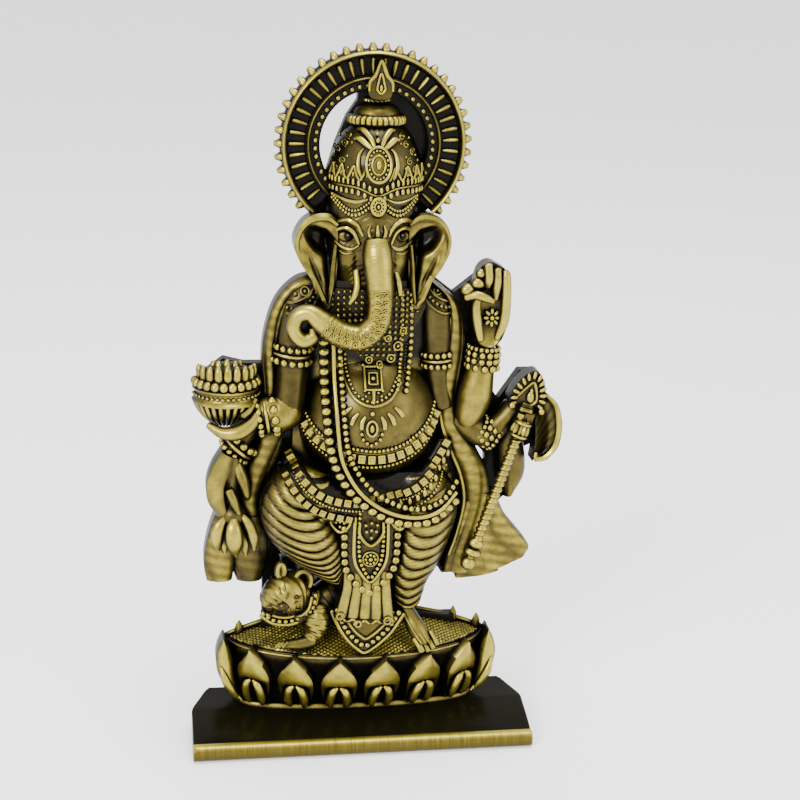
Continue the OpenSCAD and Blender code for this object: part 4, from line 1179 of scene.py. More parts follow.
def collar_parts():
    """Massed small beads and studs under the trunk, on a dark plate that lies on the chest."""
    left = [(-8.8, 94.2), (-8.6, 91), (-6.8, 87.6), (-4.4, 84), (-2.2, 81), (0.2, 79.6)]
    right = [(11, 94.2), (10.8, 91), (9.4, 87.6), (7, 84), (4, 81), (0.6, 79.6)]
    # The plate is kept nearly black: painted shade under the trunk, like the chest it lies on.
    plate = slab(left, right, lambda u, v, x, z: torso_y(x, z) - 0.6, -3.4, rows=30, cols=24, wear_and_shading=0.15)
    parts = [plate]
    rows = [(94 - 1.15 * k, 9.4 - 0.55 * k) for k in range(12)]
    for k, (z, half) in enumerate(rows):
        x = np.arange(-half, half + 0.8, 1.1) + 0.5 * (k % 2) + 0.8
        dip = 0.012 * x * x
        p = draped(np.stack([x, z - dip], -1), torso_y, 0.75)
        size = 0.3 + 0.14 * np.abs(np.sin(3.1 * x + 2.3 * k))
        parts.append(beads(p, size, wear_and_shading=0.62))
    for x, z, r in [(3.9, 80.6, 0.75), (5.2, 83.0, 0.8), (3.2, 84.6, 0.6), (-0.4, 80.4, 0.6),
                    (1.6, 79.6, 0.55), (6.2, 86.0, 0.6)]:
        parts.append(ring_tube(oval(x, z, r, r, 14), torso_y, 0.9, 0.17, wear_and_shading=0.9))
        parts.append(beads(draped([(x, z)], torso_y, 0.95), r * 0.45, wear_and_shading=0.9))
    return parts


def necklace_path():
    """Points (x, z) of the necklace, from the left round its lowest point."""
    return [(-5.6, 80.5), (-5.3, 77.2), (-3.6, 74.0), (-0.3, 72.6), (3.2, 73.6), (5.6, 76.4),
            (6.4, 79.6), (6.5, 84), (6.4, 88), (6.2, 92.6)]


def pendant_parts():
    """Square plaque on the chain, the chain's lower bow, a fan of drops and the long drop."""
    surf = torso_y
    parts = []
    for half, r in ((1.6, 0.24), (0.8, 0.2)):
        box = [(-half, -half * 1.15), (half, -half * 1.15), (half, half * 1.15), (-half, half * 1.15)]
        pts = []
        for (x0, z0), (x1, z1) in zip(box, box[1:] + box[:1]):
            pts += [(x0 + (x1 - x0) * t + 0.15, z0 + (z1 - z0) * t + 77.4) for t in (0.04, 0.35, 0.65, 0.96)]
        parts.append(ring_tube(np.array(pts), surf, 0.5, r, wear_and_shading=1.0))
    corners = [(0.15 + x, 77.4 + z) for x in (-1.7, 1.7) for z in (-2, 2)]
    parts.append(beads(draped(corners, surf, 0.5), 0.34))
    parts.append(beads(draped([(0.15, 77.4)], surf, 0.5), 0.46, (1, 0.8, 1.1)))
    parts.append(brass_line([(0.15, 75.4), (0.1, 74.2), (0.0, 73.2)], surf, 0.4, [0.34, 0.26, 0.34]))
    for s in (-1, 1):
        parts.append(string([(0.9 * s + 0.1, 75.0), (1.5 * s + 0.1, 74.4)], surf, 0.35, 0.28, 0.7))
    bow = necklace_path()
    parts.append(brass_line(bow[:6], surf, 0.25, 0.34, wear_and_shading=0.95))
    parts.append(string([(x * 0.88, z + 0.75) for x, z in bow[:6]], surf, 0.25, 0.34, 0.95))
    fan = [(-4.9, 71.4, -42, 2.3), (-3.5, 70.2, -30, 2.5), (-1.9, 69.5, -16, 2.4),
           (1.9, 69.5, 16, 2.4), (3.5, 70.2, 30, 2.5), (5.0, 71.4, 42, 2.3)]
    for x, z, lean, length in fan:
        a = math.radians(lean)
        tip = (x + math.sin(a) * length * 0.5, z - math.cos(a) * length * 0.5)
        top = (x - math.sin(a) * length * 0.5, z + math.cos(a) * length * 0.5)
        mid = (x + 0.25 * math.cos(a) * (1 if x > 0 else -1), z)
        parts.append(brass_line([top, mid, tip], surf, 0.3, [0.24, 0.46, 0.4], flat=0.8))
    parts.append(beads(draped([(-0.25, 71.3)], surf, 0.4), 0.52))
    parts.append(ring_tube(oval(-0.25, 68.4, 0.98, 1.5, 24), surf, 0.35, 0.26))
    parts.append(beads(draped([(-0.25, 68.4)], surf, 0.35), 0.5, (0.9, 0.8, 1.6), lat=8, lon=12))
    dots = [(-2.2, 67.3), (-1.9, 66.2), (-1.1, 65.4), (-0.25, 65.0), (0.6, 65.4), (1.4, 66.2), (1.7, 67.3)]
    parts.append(beads(draped(dots, surf, 0.3), 0.4))
    return parts


def block(half_w, half_h, depth=0.45):
    """A square stud: a low frustum with a slightly raised middle."""
    steps = [(1.0, 0.3), (1.0, -0.4 * depth), (0.82, -depth), (0.45, -depth), (0.35, -1.3 * depth),
             (0.02, -1.35 * depth)]
    corners = np.array([(-1, -1), (-0.9, -1), (0.9, -1), (1, -1), (1, -0.9), (1, 0.9), (1, 1), (0.9, 1),
                        (-0.9, 1), (-1, 1), (-1, 0.9), (-1, -0.9)], float)
    rows = [np.stack([corners[:, 0] * half_w * k, np.full(12, y), corners[:, 1] * half_h * k], -1)
            for k, y in steps]
    return loft(np.array(rows))


def stud_row(points, surface, proud, pitch, half_w, half_h, wear_and_shading=1.0):
    """Square studs along a curve of (x, z) points, each turned to follow it."""
    way = draped(spline(np.array(points, float), 240), surface, proud)
    spots = even(way, pitch)
    t = np.gradient(spots, axis=0)
    angles = -np.arctan2(t[:, 2], t[:, 0])
    return copies(block(half_w, half_h), turned(spots, angles, np.ones(len(spots))),
                  np.full(len(spots), wear_and_shading))


def lap_y(x, z):
    """Depth of the lap: belly, thighs and the flat sheet stretched between them under the belly, where the
    painted shadow is laid.
    """
    web = np.where((x > -15) & (x < 16) & (z < 63), -6.2 + 0.012 * (x - 1) ** 2, PLATE_FACE)
    legs = np.minimum(limb_y(LEFT_LEG, x, z), limb_y(RIGHT_LEG, x, z))
    return np.minimum(np.minimum(torso_y(x, z), legs), web) - 0.5


def garland_parts():
    """Big oblong beads outside, a cord, and small beads inside, from shoulder to far knee."""
    outer = [(-9.3, -5.9, 84.2), (-9.1, -6.6, 77), (-8.7, -9.2, 70), (-7.8, -9.8, 63.6),
             (-6.2, -9.5, 58.8), (-3.2, -10.1, 54.2), (0.8, -10.8, 51), (4.8, -10.8, 49),
             (9.2, -10.2, 48.2), (13.2, -9.4, 48.8), (17.4, -6.8, 51.4)]
    cord = [(-7.4, -5.6, 84), (-7.2, -7.3, 77), (-6.8, -10.2, 70), (-6.0, -10.6, 63),
            (-4.5, -10.1, 58.8), (-1.8, -10.6, 54.8), (2.0, -11.2, 51.9), (6.0, -11, 50.2),
            (10.2, -10.4, 49.6), (14, -9.2, 50.4), (17.6, -6.8, 53.2)]
    inner = [(-6.2, -5.5, 83.6), (-5.9, -7.8, 77), (-5.5, -10.6, 70), (-4.7, -11.0, 64),
             (-3.0, -10.3, 59.8), (-0.3, -10.8, 56.1), (3.2, -11, 53.5), (7.2, -10.9, 51.8),
             (11.2, -10.1, 51.4), (15.0, -8.6, 52.8), (17.6, -6.6, 55.4)]
    line = lambda pts: spline(np.array(pts), 120)
    rope = line(cord)
    return [beads(even(line(outer), 1.95), 0.86, (1.25, 1.1, 1.0), lat=7, lon=14),
            tube(np.hstack([rope, np.full((120, 1), 0.46)]), sides=10, count=200, wear_and_shading=0.95),
            beads(even(line(inner), 1.3), 0.58, lat=5, lon=10),
            tube(np.hstack([line(outer) + [0, 0.7, 0], np.full((120, 1), 0.8)]), sides=8, count=120,
                 wear_and_shading=0.08)]


def side_strand_parts():
    """Two upright bead strands at the right of the chest, close together."""
    return [string([(5.9, 93), (6.0, 88), (6.0, 84), (5.8, 79.5), (4.8, 75.4)], torso_y, 0.5, 0.42, 0.98,
                   lat=5, lon=10),
            string([(7.6, 93), (7.8, 88), (7.9, 84), (7.7, 79.5), (6.6, 75.0)], torso_y, 0.5, 0.55, 1.3,
                   lat=6, lon=12),
            string([(6.9, 93), (7.0, 88), (7.0, 82), (6.7, 78)], torso_y, 0.1, 0.3, 0.66, wear_and_shading=0.3)]


def stud(x, z, surface, lift, half, wear_and_shading=1.0):
    """A square stud: a raised rim round a small boss."""
    pts = []
    box = [(-half, -half), (half, -half), (half, half), (-half, half)]
    for (x0, z0), (x1, z1) in zip(box, box[1:] + box[:1]):
        pts += [(x + x0 + (x1 - x0) * t, z + z0 + (z1 - z0) * t) for t in (0.08, 0.5, 0.92)]
    return [ring_tube(np.array(pts), surface, lift, half * 0.3, sides=6, wear_and_shading=wear_and_shading),
            beads(draped([(x, z)], surface, lift), half * 0.5, wear_and_shading=wear_and_shading)]


def belly_belt_parts():
    """Chain of square studs between two rows of beads round the belly."""
    top = [(-13.6, 72.2), (-12, 69), (-9.8, 66.4), (-6.4, 64.6), (-2.6, 64.0), (1, 63.7), (5.2, 64.4),
           (8.9, 66.2), (11.8, 69), (13.6, 72.6)]
    low = [(-13.4, 67.4), (-11.6, 64.4), (-9, 62.2), (-5.8, 60.7), (-2, 60.0), (1.6, 60.0), (5.4, 60.6),
           (8.9, 62.2), (11.9, 64.8), (13.9, 68.2)]
    mid = [((a + c) / 2, (b + d) / 2) for (a, b), (c, d) in zip(top, low)]
    parts = [string(top, torso_y, 0.35, 0.36, 0.84), string(low, torso_y, 0.35, 0.36, 0.84),
             stud_row(mid, torso_y, 0.25, 1.95, 0.8, 0.98)]
    for row, dz in ((top, -0.75), (low, 0.75)):
        parts.append(brass_line([(x, z + dz) for x, z in row], torso_y, 0.05, 0.16, wear_and_shading=0.6))
    return parts


def waist_belt_parts():
    """Two rows of square and round studs with beads between, and drops under the right half."""
    top = [(-15.2, 60.6), (-13.4, 57.8), (-10.4, 55), (-6.6, 53.2), (-2, 52.4), (2.4, 52.7), (6.6, 53.9),
           (10.4, 56.2), (13.4, 59.4), (15.6, 63)]
    beads_row = [(x, z - 1.6) for x, z in top]
    low = [(-16.2, 57.8), (-14.2, 54.8), (-11.2, 52), (-7.6, 50.2), (-4, 49.2)]
    parts = [stud_row(top, lap_y, 0.35, 1.95, 0.78, 0.84), string(beads_row, lap_y, 0.3, 0.3, 0.7),
             stud_row(low, lap_y, 0.5, 1.85, 0.74, 0.74)]
    dark = [(x, z - 0.8) for x, z in top]
    parts.append(brass_line(dark, lap_y, -0.9, 1.9, sides=10, flat=0.5, wear_and_shading=0.1))
    dark = [(x + 0.2, z + 0.4) for x, z in low]
    parts.append(brass_line(dark, lap_y, -0.6, 1.5, sides=10, flat=0.5, wear_and_shading=0.1))
    right = spline(np.array([(5, 50.9), (8.4, 52.4), (11.6, 54.8), (14.2, 57.8), (16, 60.8)]), 60)
    spots = draped(even(right, 1.7), lap_y, 0.4)
    parts.append(beads(spots, 0.62, (0.8, 0.8, 1.35), lat=7, lon=12))
    parts.append(string([(x + 0.4, z - 1.5) for x, z in right[::6]], lap_y, 0.3, 0.3, 0.8, wear_and_shading=0.9))
    return parts


# ---------------------------------------------------------------- legs and cloth

def limb_y(path, x, z, samples=40):
    """Depth of a limb: the front of the balls (x, y, z, r) that stand along its path."""
    way = spline(np.array(path, float), samples)
    x, z = np.asarray(x, float), np.asarray(z, float)
    gap = (x[..., None] - way[:, 0]) ** 2 + (z[..., None] - way[:, 2]) ** 2
    inside = np.maximum(way[:, 3] ** 2 - gap, 0)
    y = np.where(gap < way[:, 3] ** 2, way[:, 1] - np.sqrt(inside), PLATE_FACE)
    return y.min(-1)


def fold(phase, sharp=0.6):
    """Cloth folds, 0 in the grooves and 1 on the ridges: |sin(pi phase)|^sharp."""
    return np.abs(np.sin(np.pi * phase)) ** sharp


LEFT_LEG = [(-3.5, -3.6, 51, 5.2), (-11, -3.6, 53, 6.0), (-15.2, -3.6, 52, 6.0), (-15, -4.2, 48, 6.2),
            (-11, -4.4, 43.4, 5.8), (-6.8, -3.6, 38.4, 4.6), (-4.6, -3.0, 35.2, 3.4)]
RIGHT_LEG = [(10, -2.4, 54, 5.8), (12.6, -2.8, 50, 6.0), (11.8, -3.0, 45, 5.8), (10.4, -3.2, 39.5, 5.2),
             (9.0, -3.2, 34.6, 4.2), (8.8, -3.2, 30, 3.4)]


def rib(phase):
    """Overlapping folds: each climbs slowly, crests and drops into a narrow groove."""
    f = phase - np.floor(phase)
    return np.sin(np.pi * f ** 0.7) ** 0.45


def left_leg_parts():
    """The bent leg: a broad relief ringed by folds that sag towards the knee."""
    left = [(-15.4, 60.2), (-18.2, 57.2), (-20.6, 53), (-21.0, 49), (-19.2, 44.6), (-16.2, 41),
            (-12.8, 38.2), (-9.4, 35.8), (-6.4, 34.2)]
    right = [(-6, 57), (-4.0, 53), (-3.2, 50.4), (-3.2, 47.5), (-3.4, 44), (-3.8, 41), (-4.0, 38.8),
             (-4.4, 36.8), (-4.8, 35)]
    phase = lambda u, v: 14 * v - 2.3 * np.sin(np.pi * np.clip(u, 0, 1) * 0.9) + 1.0 * u
    def height(u, v, x, z):
        base = np.minimum(limb_y(LEFT_LEG, x, z), -1.0 - 1.4 * np.sin(np.pi * u))
        return base - sizes().fold_depth * rib(phase(u, v)) * (0.35 + 0.45 * np.sin(np.pi * u) ** 0.5)
    fine = lambda x, z: 0.12 * np.sin(9 * z + 2.5 * x)
    return [slab(left, right, height, PLATE_FACE, rows=240, cols=70,
                 wear_and_shading=lambda u, v, x, z: (0.18 + 0.82 * rib(phase(u, v)) ** 1.6 + fine(x, z))
                 * (0.62 + 0.38 * np.sin(np.pi * u)))]


def right_leg_parts():
    """The standing leg: rings of folds that sag the other way."""
    left = [(1.6, 55.5), (4.2, 51.6), (5.6, 48), (6.0, 43), (5.6, 39), (4.6, 35), (4.8, 31.5), (6.6, 28.6)]
    right = [(16.4, 58.5), (18.2, 54), (18.2, 48.6), (17.4, 43.8), (16.0, 39.8), (14.2, 35.8),
             (12.4, 31.6), (11.2, 28.6)]
    phase = lambda u, v: 12 * v - 1.5 * np.sin(np.pi * np.clip(1 - u, 0, 1) * 0.75) + 1.4 * (1 - u)
    def height(u, v, x, z):
        base = np.minimum(limb_y(RIGHT_LEG, x, z), -1.0 - 1.4 * np.sin(np.pi * u))
        return base - 0.9 * sizes().fold_depth * rib(phase(u, v)) * (0.35 + 0.45 * np.sin(np.pi * u) ** 0.5)
    fine = lambda x, z: 0.12 * np.sin(9 * z - 2.5 * x)
    return [slab(left, right, height, PLATE_FACE, rows=220, cols=60,
                 wear_and_shading=lambda u, v, x, z: (0.18 + 0.8 * rib(phase(u, v)) ** 1.6 + fine(x, z))
                 * (0.66 + 0.34 * np.sin(np.pi * u)))]


def right_foot_parts():
    """The foot that hangs over the seat: instep, sole edge and four toes."""
    foot = tube([(8.0, -4.2, 29.4, 1.5), (9.2, -5.6, 26.8, 1.6), (10.8, -7.0, 24.0, 1.9),
                 (12.3, -7.9, 21.8, 1.6)], sides=20, count=40, wear_and_shading=0.7)
    parts = [foot]
    for dx in (-0.8, 0.1, 0.9):
        parts.append(tube([(9.0 + dx, -7.0, 27.0, 0.2), (10.9 + dx, -8.8, 23.8, 0.26),
                           (12.2 + dx, -9.4, 21.9, 0.22)], sides=8, count=18, wear_and_shading=0.95))
    for x, z, r in [(11.6, 20.3, 0.85), (12.9, 20.3, 0.66), (13.9, 20.9, 0.62), (14.7, 21.7, 0.56)]:
        parts.append(tube([(x - 1.2, -7.8, z + 1.9, r * 1.05), (x - 0.4, -8.8, z + 0.6, r * 0.9),
                           (x, -8.9, z - 0.2, r)], sides=12, count=16, wear_and_shading=1.0))
    return parts


def cuff(centre, turn, radius, rows, deep=1.0, wear_and_shading=1.0, span=100):
    """Half rings round a limb: its axis leans by turn degrees from upright to +X.

    rows holds (place along the axis, kind, size); kind is bar, beads, studs or band.
    """
    t = math.radians(turn)
    axis = np.array([math.sin(t), 0, math.cos(t)])
    side = np.array([math.cos(t), 0, -math.sin(t)])
    phi = np.radians(np.linspace(-span, span, 41))
    ring = lambda r, at: np.array(centre) + axis * at + np.sin(phi)[:, None] * side * r \
        - np.cos(phi)[:, None] * np.array([0, r * deep, 0])
    parts = []
    for at, kind, size in rows:
        way = ring(radius, at)
        if kind == "band":
            parts.append(tube(np.hstack([ring(radius - 0.35, at)[::4], np.full((11, 1), size)]),
                              sides=12, count=40, flat=0.35, wear_and_shading=0.25 * wear_and_shading))
        elif kind == "bar":
            parts.append(tube(np.hstack([way[::4], np.full((11, 1), size)]), sides=8, count=40, wear_and_shading=wear_and_shading))
        else:
            spots = even(way, size * 2.15)
            parts.append(beads(spots, size, lat=6, lon=12, wear_and_shading=wear_and_shading))
            if kind == "studs":
                parts.append(beads(spots + [0, -size * 0.75, 0], size * 0.36, wear_and_shading=wear_and_shading))
    return parts


def apron_y(x, z):
    """Depth of the cloth panel between the thighs."""
    return -9.3 + 0.035 * (x - 0.4) ** 2 + 0.06 * np.clip(40 - z, 0, 9)


def apron_parts():
    """The panel: flower studs outside, a U of tube with beads, a V pendant and a flower below."""
    left = [(-4.9, 51), (-5.3, 47), (-5.2, 42), (-4.8, 38.6), (-3.0, 36), (-1.2, 34.2), (0.1, 33.0)]
    right = [(6.5, 51), (6.6, 47), (6.4, 42), (6.1, 38.6), (4.1, 36), (2.2, 34.2), (0.9, 33.0)]
    parts = [slab(left, right, lambda u, v, x, z: apron_y(x, z) + 0.2, PLATE_FACE, rows=40, cols=40,
                  wear_and_shading=0.2)]
    # A nearly black sheet under the belly, between the thighs: painted shadow under the belly, which also
    # hides the tops of the leg folds there.
    parts.append(slab([(-12.4, 57.4), (-9.4, 54.2), (-6, 50), (-5, 46)],
                      [(13.4, 58), (11.6, 54.6), (8, 50), (7, 46)],
                      lambda u, v, x, z: np.minimum(lap_y(x, z) - 0.15, -7.2), PLATE_FACE,
                      rows=30, cols=40, wear_and_shading=0.03))
    edge = [(-4.6, 48.6), (-4.7, 45), (-4.6, 41), (-4.2, 38.2), (-2.6, 35.7), (-0.8, 33.9), (0.5, 33.2),
            (1.8, 33.9), (3.7, 35.7), (5.3, 38.2), (5.8, 41), (5.9, 45), (5.9, 48.6)]
    spots = even(draped(spline(np.array(edge), 300), apron_y, 0.25), 1.72)
    parts.append(beads(spots, 0.78, (1, 0.7, 1), lat=7, lon=14))
    parts.append(beads(spots + [0, -0.5, 0], 0.3))
    arch = [(-2.7, 49.4), (-2.8, 44), (-2.6, 40.4), (-1.6, 38), (0.55, 35.6), (2.7, 38), (3.7, 40.4),
            (3.9, 44), (3.8, 49.4)]
    parts.append(brass_line(arch, apron_y, 0.2, 0.34))
    parts.append(string([(0.55 + (x - 0.55) * 0.72, z + 0.9) for x, z in arch], apron_y, 0.2, 0.42, 0.98,
                        lat=5, lon=10))
    def vee(x, z, w, h):
        tip = [(x - w, z + h), (x - w * 0.95, z + h * 0.45), (x, z), (x + w * 0.95, z + h * 0.45),
               (x + w, z + h)]
        out = [brass_line(tip, apron_y, 0.5, [0.24, 0.32, 0.36, 0.32, 0.24])]
        dots = [(x, z + h * 0.35), (x - w * 0.42, z + h * 0.62), (x + w * 0.42, z + h * 0.62),
                (x, z + h * 0.68), (x - w * 0.5, z + h * 0.9), (x + w * 0.5, z + h * 0.9), (x, z + h)]
        out.append(beads(draped(dots, apron_y, 0.5), 0.36))
        return out
    parts += vee(0.5, 43.6, 2.3, 4.8) + vee(-5.6, 46.2, 1.8, 3.2) + vee(6.4, 46.4, 1.6, 2.8)
    a = np.radians(np.arange(0, 360, 45))
    petals = np.stack([0.5 + 0.95 * np.cos(a), 40.6 + 0.95 * np.sin(a)], -1)
    parts.append(beads(draped(petals, apron_y, 0.25), 0.34))
    parts.append(ring_tube(oval(0.5, 40.6, 1.5, 1.5, 24), apron_y, 0.1, 0.2, wear_and_shading=0.8))
    parts.append(beads(draped([(0.5, 40.6)], apron_y, 0.3), 0.5))
    return parts


def pleats_y(u, v, x, z):
    """Fanned folds: five broad flat ridges across, deeper towards the hem."""
    return -8.4 - 1.3 * v - (0.3 + 0.4 * v) * fold(5 * u, 0.45)


def pleat_parts():
    """The fan of pleats under the apron; the hem rolls into a curl under every second fold."""
    left = [(-4.6, 37.4), (-4.8, 34.4), (-5.6, 31.4), (-6.4, 28.8)]
    right = [(4.6, 37.4), (4.8, 34.4), (5.2, 30.6), (5.6, 27.6)]
    parts = [slab(left, right, pleats_y, -2, rows=50, cols=130,
                  wear_and_shading=lambda u, v, x, z: 0.5 + 0.55 * fold(5 * u, 0.6))]
    u = np.linspace(0.01, 0.99, 200)
    x = -6.4 + 12.0 * u
    z = 28.7 - 1.1 * u - 0.75 * np.sin(np.pi * u) - 0.35 * np.cos(10 * np.pi * u)
    y = pleats_y(u, 1.0, x, z)
    parts.append(tube(np.stack([x, y, z, np.full(200, 0.3)], -1), sides=8, count=300))
    for cx, cz, size, way_round in [(-5.4, 28.9, 0.8, 1), (-1.8, 27.1, 0.75, -1), (4.2, 27.6, 0.9, 1)]:
        a = np.linspace(0.0, 2 * np.pi * 1.2, 26)
        r = size * (1 - 0.5 * a / a[-1])
        ring = np.stack([cx + way_round * r * np.cos(a), np.full(26, -10.6), cz + r * np.sin(a),
                         np.full(26, 0.26)], -1)
        parts.append(tube(ring, sides=8, count=50))
        parts.append(beads([[cx, -9.9, cz]], size * 0.8, (1, 0.5, 1), lat=6, lon=12, wear_and_shading=0.1))
    return parts


def hem_cloth_parts():
    """The pointed fall of cloth on the petals: two rolled edges with big beads between them."""
    left = [(-6.9, 29.6), (-5.7, 26.6), (-4.5, 24.4), (-3.1, 22.5), (-1.7, 21.2), (-0.6, 20.4)]
    right = [(7.6, 28.4), (6.4, 26.4), (5.2, 24.5), (3.6, 22.8), (2.0, 21.4), (0.4, 20.4)]
    cloth = lambda x, z: -9.0 + 0 * x
    parts = [slab(left, right, lambda u, v, x, z: cloth(x, z) + 0.04 * np.sin(6 * x) * np.sin(6 * z), -2,
                  rows=50, cols=50, wear_and_shading=0.42)]
    edge = left[:5] + [(-0.1, 20.2)] + right[:5][::-1]
    parts.append(brass_line(edge, cloth, 0.1, 0.4))
    inset = lambda k: [(0.3 + (x - 0.3) * k, 30.4 + (z - 30.4) * k) for x, z in edge]
    parts.append(string(inset(0.85), cloth, 0.15, 0.62, 1.32, lat=6, lon=12))
    parts.append(brass_line(inset(0.7), cloth, 0.2, 0.36))
    return parts


# ---------------------------------------------------------------- arms, hands and shawl

LEFT_ARM = [(-10.6, -0.6, 93.6, 2.8), (-13.4, -1.0, 91, 3.4), (-14.8, -1.6, 84, 3.4),
            (-15.0, -2.2, 76, 3.3), (-15.6, -2.8, 70.4, 3.5)]
RIGHT_ARM = [(10.2, -0.6, 93.6, 2.6), (12.7, -1.0, 90.6, 3.2), (13.5, -1.4, 84, 3.1),
             (13.7, -1.4, 77, 2.8), (14.8, -1.6, 70, 2.9)]


def shoulder_patch(path, side):
    """A curved lappet on the shoulder: two rolled edges with a row of beads between."""
    surf = lambda x, z: limb_y(path, x, z)
    m = lambda pts: [(side * x, z) for x, z in pts]
    parts = [brass_line(m([(10.2, 95.2), (12.2, 92.8), (14.4, 91.6), (16, 91.4)]), surf, 0.15, 0.32),
             brass_line(m([(10.0, 92.6), (11.8, 90.4), (14.2, 89.2), (16.2, 89.4)]), surf, 0.15, 0.32),
             string(m([(10.1, 94), (12, 91.6), (14.3, 90.4), (16.1, 90.4)]), surf, 0.2, 0.42, 0.98)]
    parts.append(ring_tube(oval(side * 12.8, 93.6, 0.8, 0.8, 14), surf, 0.2, 0.2))
    parts.append(beads(draped([(side * 12.8, 93.6), (side * 14.6, 93)], surf, 0.2), [0.4, 0.5]))
    return parts


def upper_arm_parts(path, side):
    """Upper arm, rounded along its path, with the lappet on its shoulder."""
    return [tube(path, sides=26, count=60, wear_and_shading=0.5, ends=0.3)] + shoulder_patch(path, side)


def armlet_parts():
    """Two bands of round studs with a bar between the rows."""
    rows = [(1.3, "studs", 0.66), (0, "bar", 0.36), (-1.35, "studs", 0.74)]
    thin = [(1.1, "studs", 0.6), (0, "bar", 0.32), (-1.1, "studs", 0.6)]
    return cuff((-15, -1.8, 81.0), 6, 3.7, rows) + cuff((13.8, -1.4, 79.6), -4, 3.3, thin)


def bracelet_parts():
    """Four bracelets: a row of drops, a bar and a row of round beads."""
    left = [(-1.7, "beads", 0.66), (-0.3, "bar", 0.4), (1.3, "studs", 0.96)]
    low = [(1.5, "studs", 0.84), (0.1, "bar", 0.42), (-1.2, "beads", 0.62)]
    up = [(1.9, "beads", 0.5), (0.8, "studs", 0.7), (-0.5, "studs", 0.74), (-1.9, "studs", 0.8)]
    right = [(-1.7, "beads", 0.5), (-0.5, "studs", 0.66), (0.8, "studs", 0.7), (1.9, "beads", 0.5)]
    return cuff((-19.6, -3.0, 68.6), 80, 3.5, left) + cuff((-25.2, -1.0, 61.6), 42, 3.1, low) \
        + cuff((22.4, -2.9, 80.2), 4, 3.0, up) + cuff((24.2, -2.4, 64.2), -58, 2.6, right)


def fold_bar(points, r, wear_and_shading=0.9):
    """One rolled fold of cloth given as (x, y, z) points with radius r."""
    p = np.array(points, float)
    return tube(np.hstack([p, np.full((len(p), 1), r)]), sides=10, count=10 * len(p), wear_and_shading=wear_and_shading)


def shawl_band(left, right, depth, folds, wear_and_shading=0.9, swell=1.4, groove=0.35):
    """A broad, nearly smooth length of cloth with a few shallow folds that run along it."""
    def height(u, v, x, z):
        return depth - swell * np.sin(np.pi * u) ** 0.5 - groove * fold(folds * u + 0.25 * np.sin(5 * v), 0.7)

    def shade(u, v, x, z):
        return wear_and_shading * (0.5 + 0.5 * fold(folds * u + 0.25 * np.sin(5 * v), 0.8)) \
            * (0.86 + 0.14 * np.sin(3.1 * z + 0.6 * x))
    return slab(left, right, height, PLATE_FACE, rows=90, cols=50, wear_and_shading=shade)


def left_shawl_parts():
    """The band over the shoulder, the broad sleeve beside the knee and two smooth falls."""
    parts = [shawl_band([(-9.6, 96.6), (-14.2, 95.6), (-18, 91.8), (-20.1, 86), (-20.8, 80), (-20.4, 73)],
                        [(-10.4, 93.2), (-13.8, 91.8), (-15.6, 89.2), (-17.0, 85.4), (-17.6, 80),
                         (-17.4, 73)], -1.6, 1.5)]
    parts.append(shawl_band([(-20.6, 67), (-21.6, 61.6), (-24, 56), (-26, 50.6), (-26.4, 46)],
                            [(-15.9, 66), (-17.2, 60), (-19.2, 54.8), (-20.4, 50), (-19.4, 44)],
                            -1.4, 1, 0.8))
    parts.append(shawl_band([(-25.8, 48), (-26.2, 44), (-26.4, 40), (-26.2, 36.4), (-25.4, 33.9)],
                            [(-19.9, 47.6), (-19.0, 43), (-19.2, 39), (-19.7, 36), (-20.4, 33.9)], -1.7, 1,
                            0.55, 1.6, 0.2))
    parts.append(shawl_band([(-29.4, 49), (-30.8, 45), (-31.8, 40.4), (-31.9, 37), (-31.4, 34.2)],
                            [(-25, 48), (-25.0, 44), (-25.4, 40), (-25.9, 36.6), (-26.3, 34.2)], -2.1, 1, 0.9,
                            1.6, 0.2))
    return parts


def right_shawl_parts():
    """The long band from the shoulder to the flared end beside the right knee."""
    left = [(10.4, 96.2), (13.8, 92.6), (15.2, 88), (15.0, 82), (14.3, 77), (13.6, 72), (14.4, 66.4),
            (16.6, 60.4), (18.6, 55.6), (19.6, 50), (18.4, 43), (17.0, 38.4), (16.4, 34.8)]
    right = [(13, 94.6), (17, 91.4), (18.4, 87.4), (19.0, 81.6), (18.6, 76.8), (18.2, 72), (19.6, 66.4),
             (22.4, 60.8), (24.8, 56), (25.4, 50.6), (24.2, 44), (22.8, 38.4), (22.2, 34.4)]
    flare_l = [(23.2, 52), (22.0, 46), (21.6, 41), (21.4, 37), (21.8, 33.4)]
    flare_r = [(26.8, 51), (29.0, 46.4), (32.2, 42.4), (34.2, 39.6), (33.4, 37.4)]
    tail = shawl_band(flare_l, flare_r, -2.0, 1.6, 0.95, 1.6, 0.4)
    lower = shawl_band([(19.8, 50), (18.6, 43), (18.4, 37.6), (19.2, 33)],
                       [(23.8, 50), (25.8, 43), (27, 37.6), (28.2, 34.4)], -2.2, 1, 0.9, 1.2, 0.25)
    edge = fold_bar([(x + 0.5, -3.0, z) for x, z in left[2:-1]], 0.45, 1.0)
    return [shawl_band(left, right, -1.8, 1, 0.9, 1.7, 0.5), tail, lower, edge]


def petal(base, tip, width, depth, wear_and_shading=1.0, belly=0.5):
    """A pointed leaf from base to tip (x, y, z), a tube that swells and narrows."""
    a, b = np.array(base, float), np.array(tip, float)
    t = np.linspace(0, 1, 9)[:, None]
    way = a + (b - a) * t
    way[:, 1] -= depth * np.sin(np.pi * t[:, 0])
    r = width * (0.12 + 0.88 * np.sin(np.pi * np.clip(t[:, 0] * 0.86 + 0.1, 0, 1)) ** (2 * belly))
    return tube(np.hstack([way, r[:, None]]), sides=12, count=24, flat=0.6, wear_and_shading=wear_and_shading)


